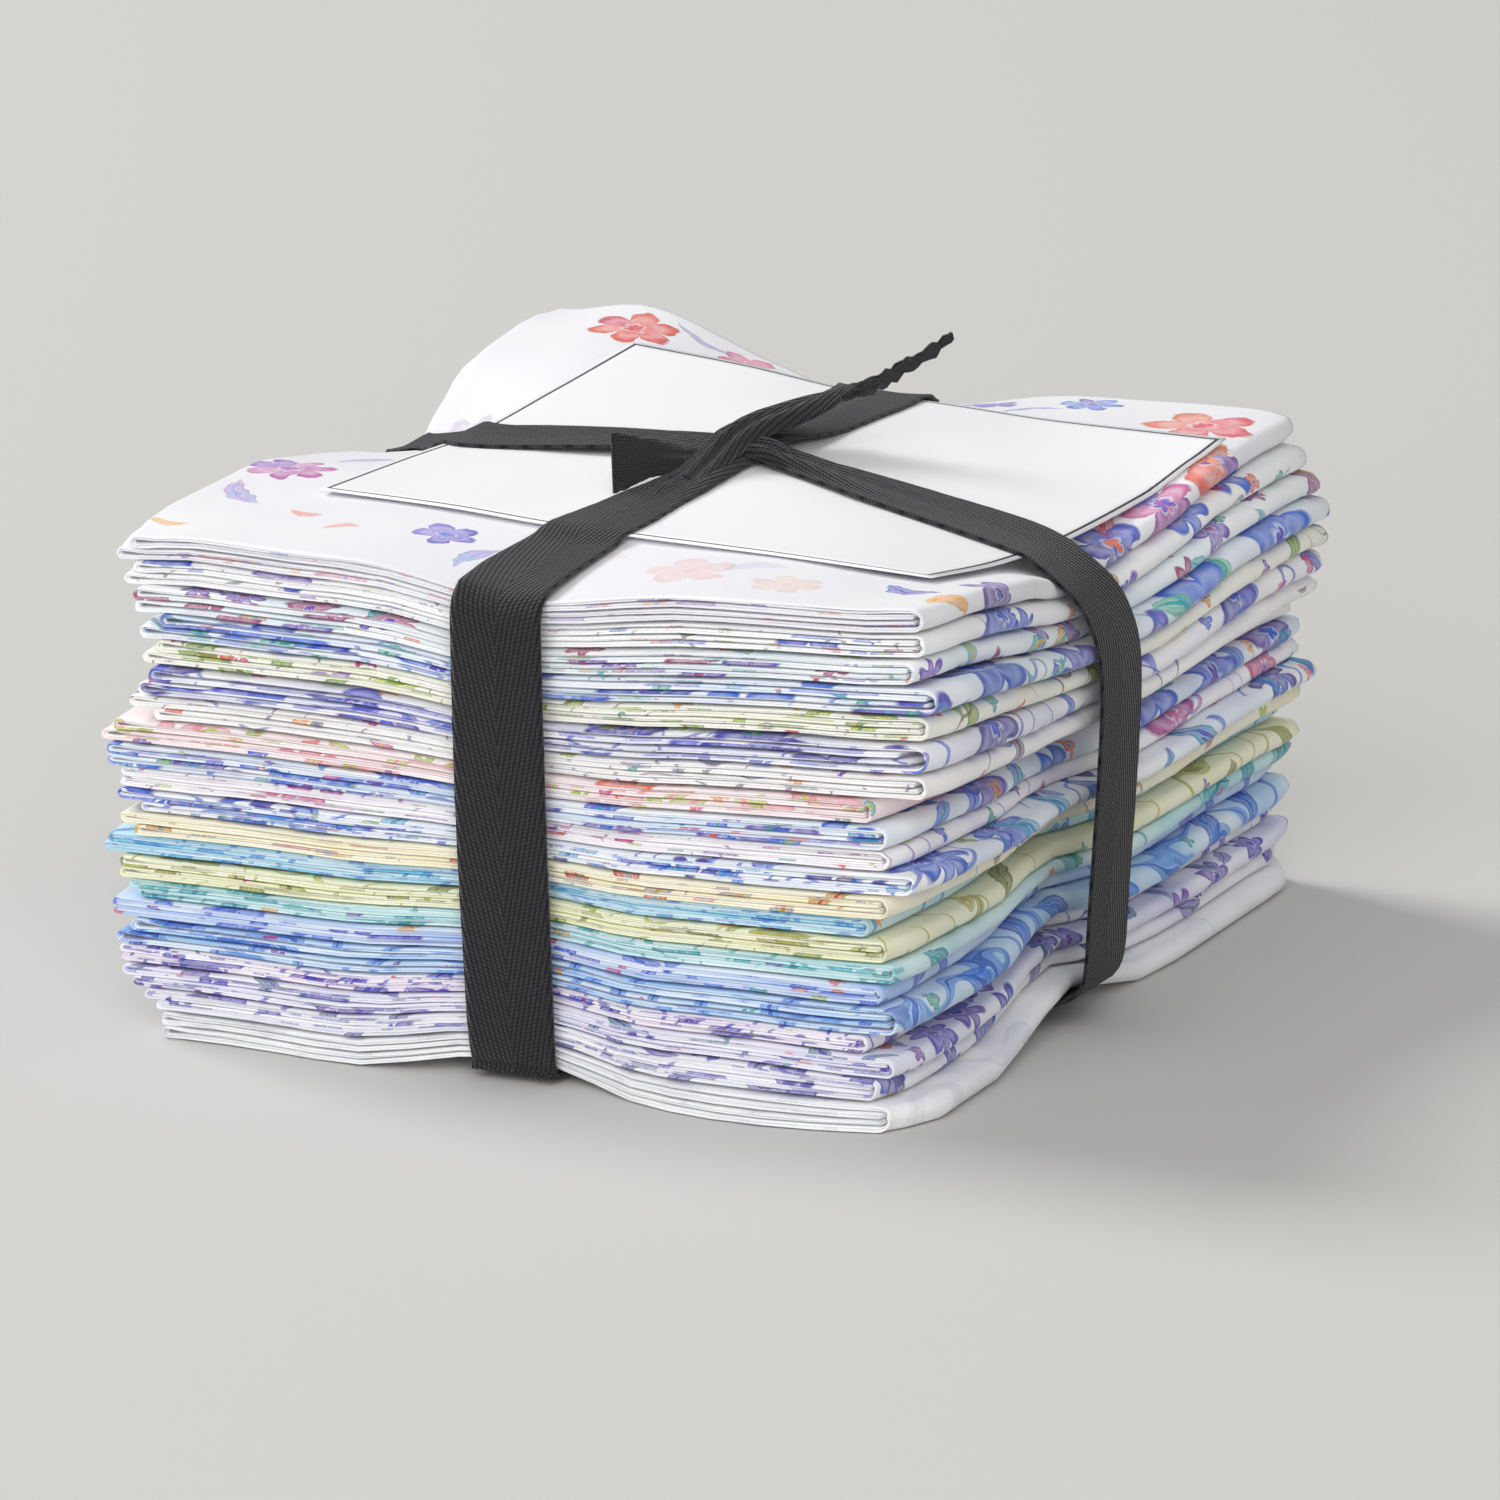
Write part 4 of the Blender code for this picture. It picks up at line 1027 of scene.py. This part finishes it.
# the knot's strands: x, y, z, half width, roll of the tape about its run in degrees, bunching
shortEnd = (
    (6.4, -11, 89.8, 2.6, 20, 0.6), (4.2, -14.2, 88.9, 2.2, 40, 0.5), (1.8, -18.2, 88.9, 2.2, 60, 0.35),
    (-0.4, -21.6, 89.7, 2.5, 75, 0.2), (-2.4, -25.6, 90.5, 3.2, 82, 0.05), (-4, -29.6, 90.8, 4.2, 84),
    (-5.4, -33.2, 91, 5.1, 84),
)
longEnd = (
    (4.2, -26, 87, 3.4, 0, 0.5), (5, -18, 88.9, 3.4, 0, 0.8), (6.1, -11, 91.2, 3.6, 0, 1),
    (7.7, -5, 92.2, 4, 4, 1), (9.7, 0, 92.6, 4.6, 8, 1), (13, 6, 93.6, 4.6, 16, 0.9),
    (16.1, 10.5, 94.9, 3.7, 30, 0.6), (19.8, 14, 96.6, 2.3, 48, 0.2), (24.9, 18, 100, 1.5, 60),
    (28.8, 21, 102.8, 1.2, 66), (30.4, 23, 104.1, 0.7, 70),
)
firstWrap = (  # the turn under the long end that the knot is drawn tight with
    (-2, -7.4, 88.2, 3.4, 0, 0.5), (1.5, -9, 88.9, 3.4, 0, 0.8), (5.4, -9.8, 89.6, 3.6, 0, 0.9),
    (9.2, -9.6, 89.6, 3.8, 0, 0.9), (12.6, -9, 88.8, 4, 0, 0.9), (16, -8.6, 87.2, 3.8, 0, 0.4),
    (19, -8.2, 85.6, 3.2),
)


def rolledAcross(path, i):
    before = Vector(path[max(i - 1, 0)][0:3])
    after = Vector(path[min(i + 1, len(path) - 1)][0:3])
    heading = (after - before).normalized()
    side = heading.cross(Vector((0, 0, 1))).normalized()
    up = side.cross(heading)
    angle = math.radians(path[i][4])
    return side * math.cos(angle) + up * math.sin(angle), up * math.cos(angle) - side * math.sin(angle)


tapeFinish = {"Roughness": 0.95, "Specular IOR Level": 0.15, "Sheen Weight": 0.2, "Sheen Roughness": 0.5}


def tapeMaterial():
    material, tree, shader = makeMaterial("black cotton twill tape", tapeFinish)
    runMap = tree.nodes.new("ShaderNodeUVMap")
    runMap.uv_map = "tapeRun"
    parts = splitVector(tree, runMap.outputs[0])
    run = times(tree, parts[0], 1000.0)
    offMiddle = calc(tree, "ABSOLUTE", times(tree, minus(tree, parts[1], 0.5), tape["wide"]))
    ribs = over(tree, plus(tree, offMiddle, times(tree, run, tape["twillLean"])), tape["twillPitch"])
    rib = calc(tree, "ABSOLUTE", calc(tree, "SINE", times(tree, ribs, math.pi)))
    stitch = calc(tree, "SINE", plus(tree, times(tree, run, 9.0), times(tree, ribs, 2.2)))
    height = times(tree, rib, plus(tree, times(tree, stitch, 0.22), 0.78))
    fuzz = addNoise(tree, runMap.outputs[0], 1400.0, 4.0, 0.7)
    worn = addNoise(tree, runMap.outputs[0], 60.0, 3.0)
    # painted highlight and shade: the twill's rib tops are painted lighter and the grooves between them
    # darker, while the fuzz and worn noise vary it at random like real wear
    ribHighlightAndWear = times(tree, height, plus(tree, times(tree, fuzz, 0.7), worn), True)
    colour = blendColour(tree, ribHighlightAndWear, paint("0B0A0C"), paint("3C3A40"))
    lint = calc(tree, "GREATER_THAN", addNoise(tree, runMap.outputs[0], 520.0, 0.0), 0.83)
    colour = blendColour(tree, times(tree, lint, 0.6), colour, paint("A09DA2"))
    wire(tree, colour, shader.inputs["Base Color"])
    addRelief(tree, shader, height, 0.9, 0.0003)
    return material


def tieTape():
    bm = bmesh.new()
    tapeMap = bm.loops.layers.uv.new("tapeRun")
    total = 0.0
    step = tape["step"]
    total += layTape(bm, tapeMap, smoothPath(longWay, step), fixedAcross((1, 0, 0)), total, True)
    total += layTape(bm, tapeMap, smoothPath(crossWay, step), fixedAcross((0, 1, 0)), total, True)
    for strand in (firstWrap, shortEnd, longEnd):
        total += layTape(bm, tapeMap, smoothPath(strand, step / 2), rolledAcross, total, False)
    strip = makeObject("cotton_tape", bm, tape["thick"])
    strip.data.materials.append(tapeMaterial())
    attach(strip, "root")
    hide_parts("tie_tape")
    return strip


tieTape()
print("tape tied")

studio = {
    "floorSize": 12.0,
    "worldStrength": 0.33,
    "keyPlace": (-2.7, 0.6, 2.7),
    "keyPower": 86.0,
    "keySize": 1.5,
    "fillPlace": (0.9, -3.5, 1.7),
    "fillPower": 146.0,
    "fillSize": 4.4,
}


def layFloor():
    bm = bmesh.new()
    bmesh.ops.create_grid(bm, x_segments=2, y_segments=2, size=studio["floorSize"] / 2)
    ground = makeObject("floor", bm)
    material, tree, shader = makeMaterial("pale floor", {"Roughness": 0.9, "Specular IOR Level": 0.1})
    places = tree.nodes.new("ShaderNodeTexCoord")
    grain = addNoise(tree, places.outputs["Object"], 900.0, 2.0)
    wire(tree, blendColour(tree, grain, paint("D3D2CF"), paint("D2D1CE")), shader.inputs["Base Color"])
    ground.data.materials.append(material)


def addArea(name, place, power, size):
    light = bpy.data.lights.new(name, "AREA")
    light.energy = power
    light.shape = "SQUARE"
    light.size = size
    lamp = bpy.data.objects.new(name, light)
    lamp.location = place
    aim = Vector((0, 0, 0.04)) - Vector(place)
    lamp.rotation_euler = aim.to_track_quat("-Z", "Y").to_euler()
    bpy.context.scene.collection.objects.link(lamp)


def lightRoom():
    world = bpy.data.worlds.new("studio")
    world.use_nodes = True
    world.node_tree.nodes["Background"].inputs["Color"].default_value = (1, 1, 1, 1)
    world.node_tree.nodes["Background"].inputs["Strength"].default_value = studio["worldStrength"]
    bpy.context.scene.world = world
    addArea("key", studio["keyPlace"], studio["keyPower"], studio["keySize"])
    addArea("fill", studio["fillPlace"], studio["fillPower"], studio["fillSize"])
    bpy.context.scene.view_settings.view_transform = "Standard"
    bpy.context.scene.view_settings.look = "None"


photoView = {
    "azimuth": math.radians(24.7),
    "elevation": math.radians(14.6),
    "distance": 2.26,
    "lens": 326.2,
    "aimRight": 0.00366,
    "aimUp": -0.00449,
}


def placeCamera():
    a, e = photoView["azimuth"], photoView["elevation"]
    back = Vector((math.sin(a) * math.cos(e), -math.cos(a) * math.cos(e), math.sin(e)))
    right = Vector((math.cos(a), math.sin(a), 0))
    up = back.cross(right)
    aim = Vector((0, 0, 0.04)) - middle * mm + right * photoView["aimRight"] + up * photoView["aimUp"]
    lens = bpy.data.cameras.new("photo view")
    lens.lens = photoView["lens"]
    lens.sensor_width = 36.0
    camera = bpy.data.objects.new("photo view", lens)
    camera.location = aim + back * photoView["distance"]
    camera.rotation_euler = back.to_track_quat("Z", "Y").to_euler()
    bpy.context.scene.collection.objects.link(camera)
    bpy.context.scene.camera = camera


layFloor()
lightRoom()
placeCamera()
print("studio set")
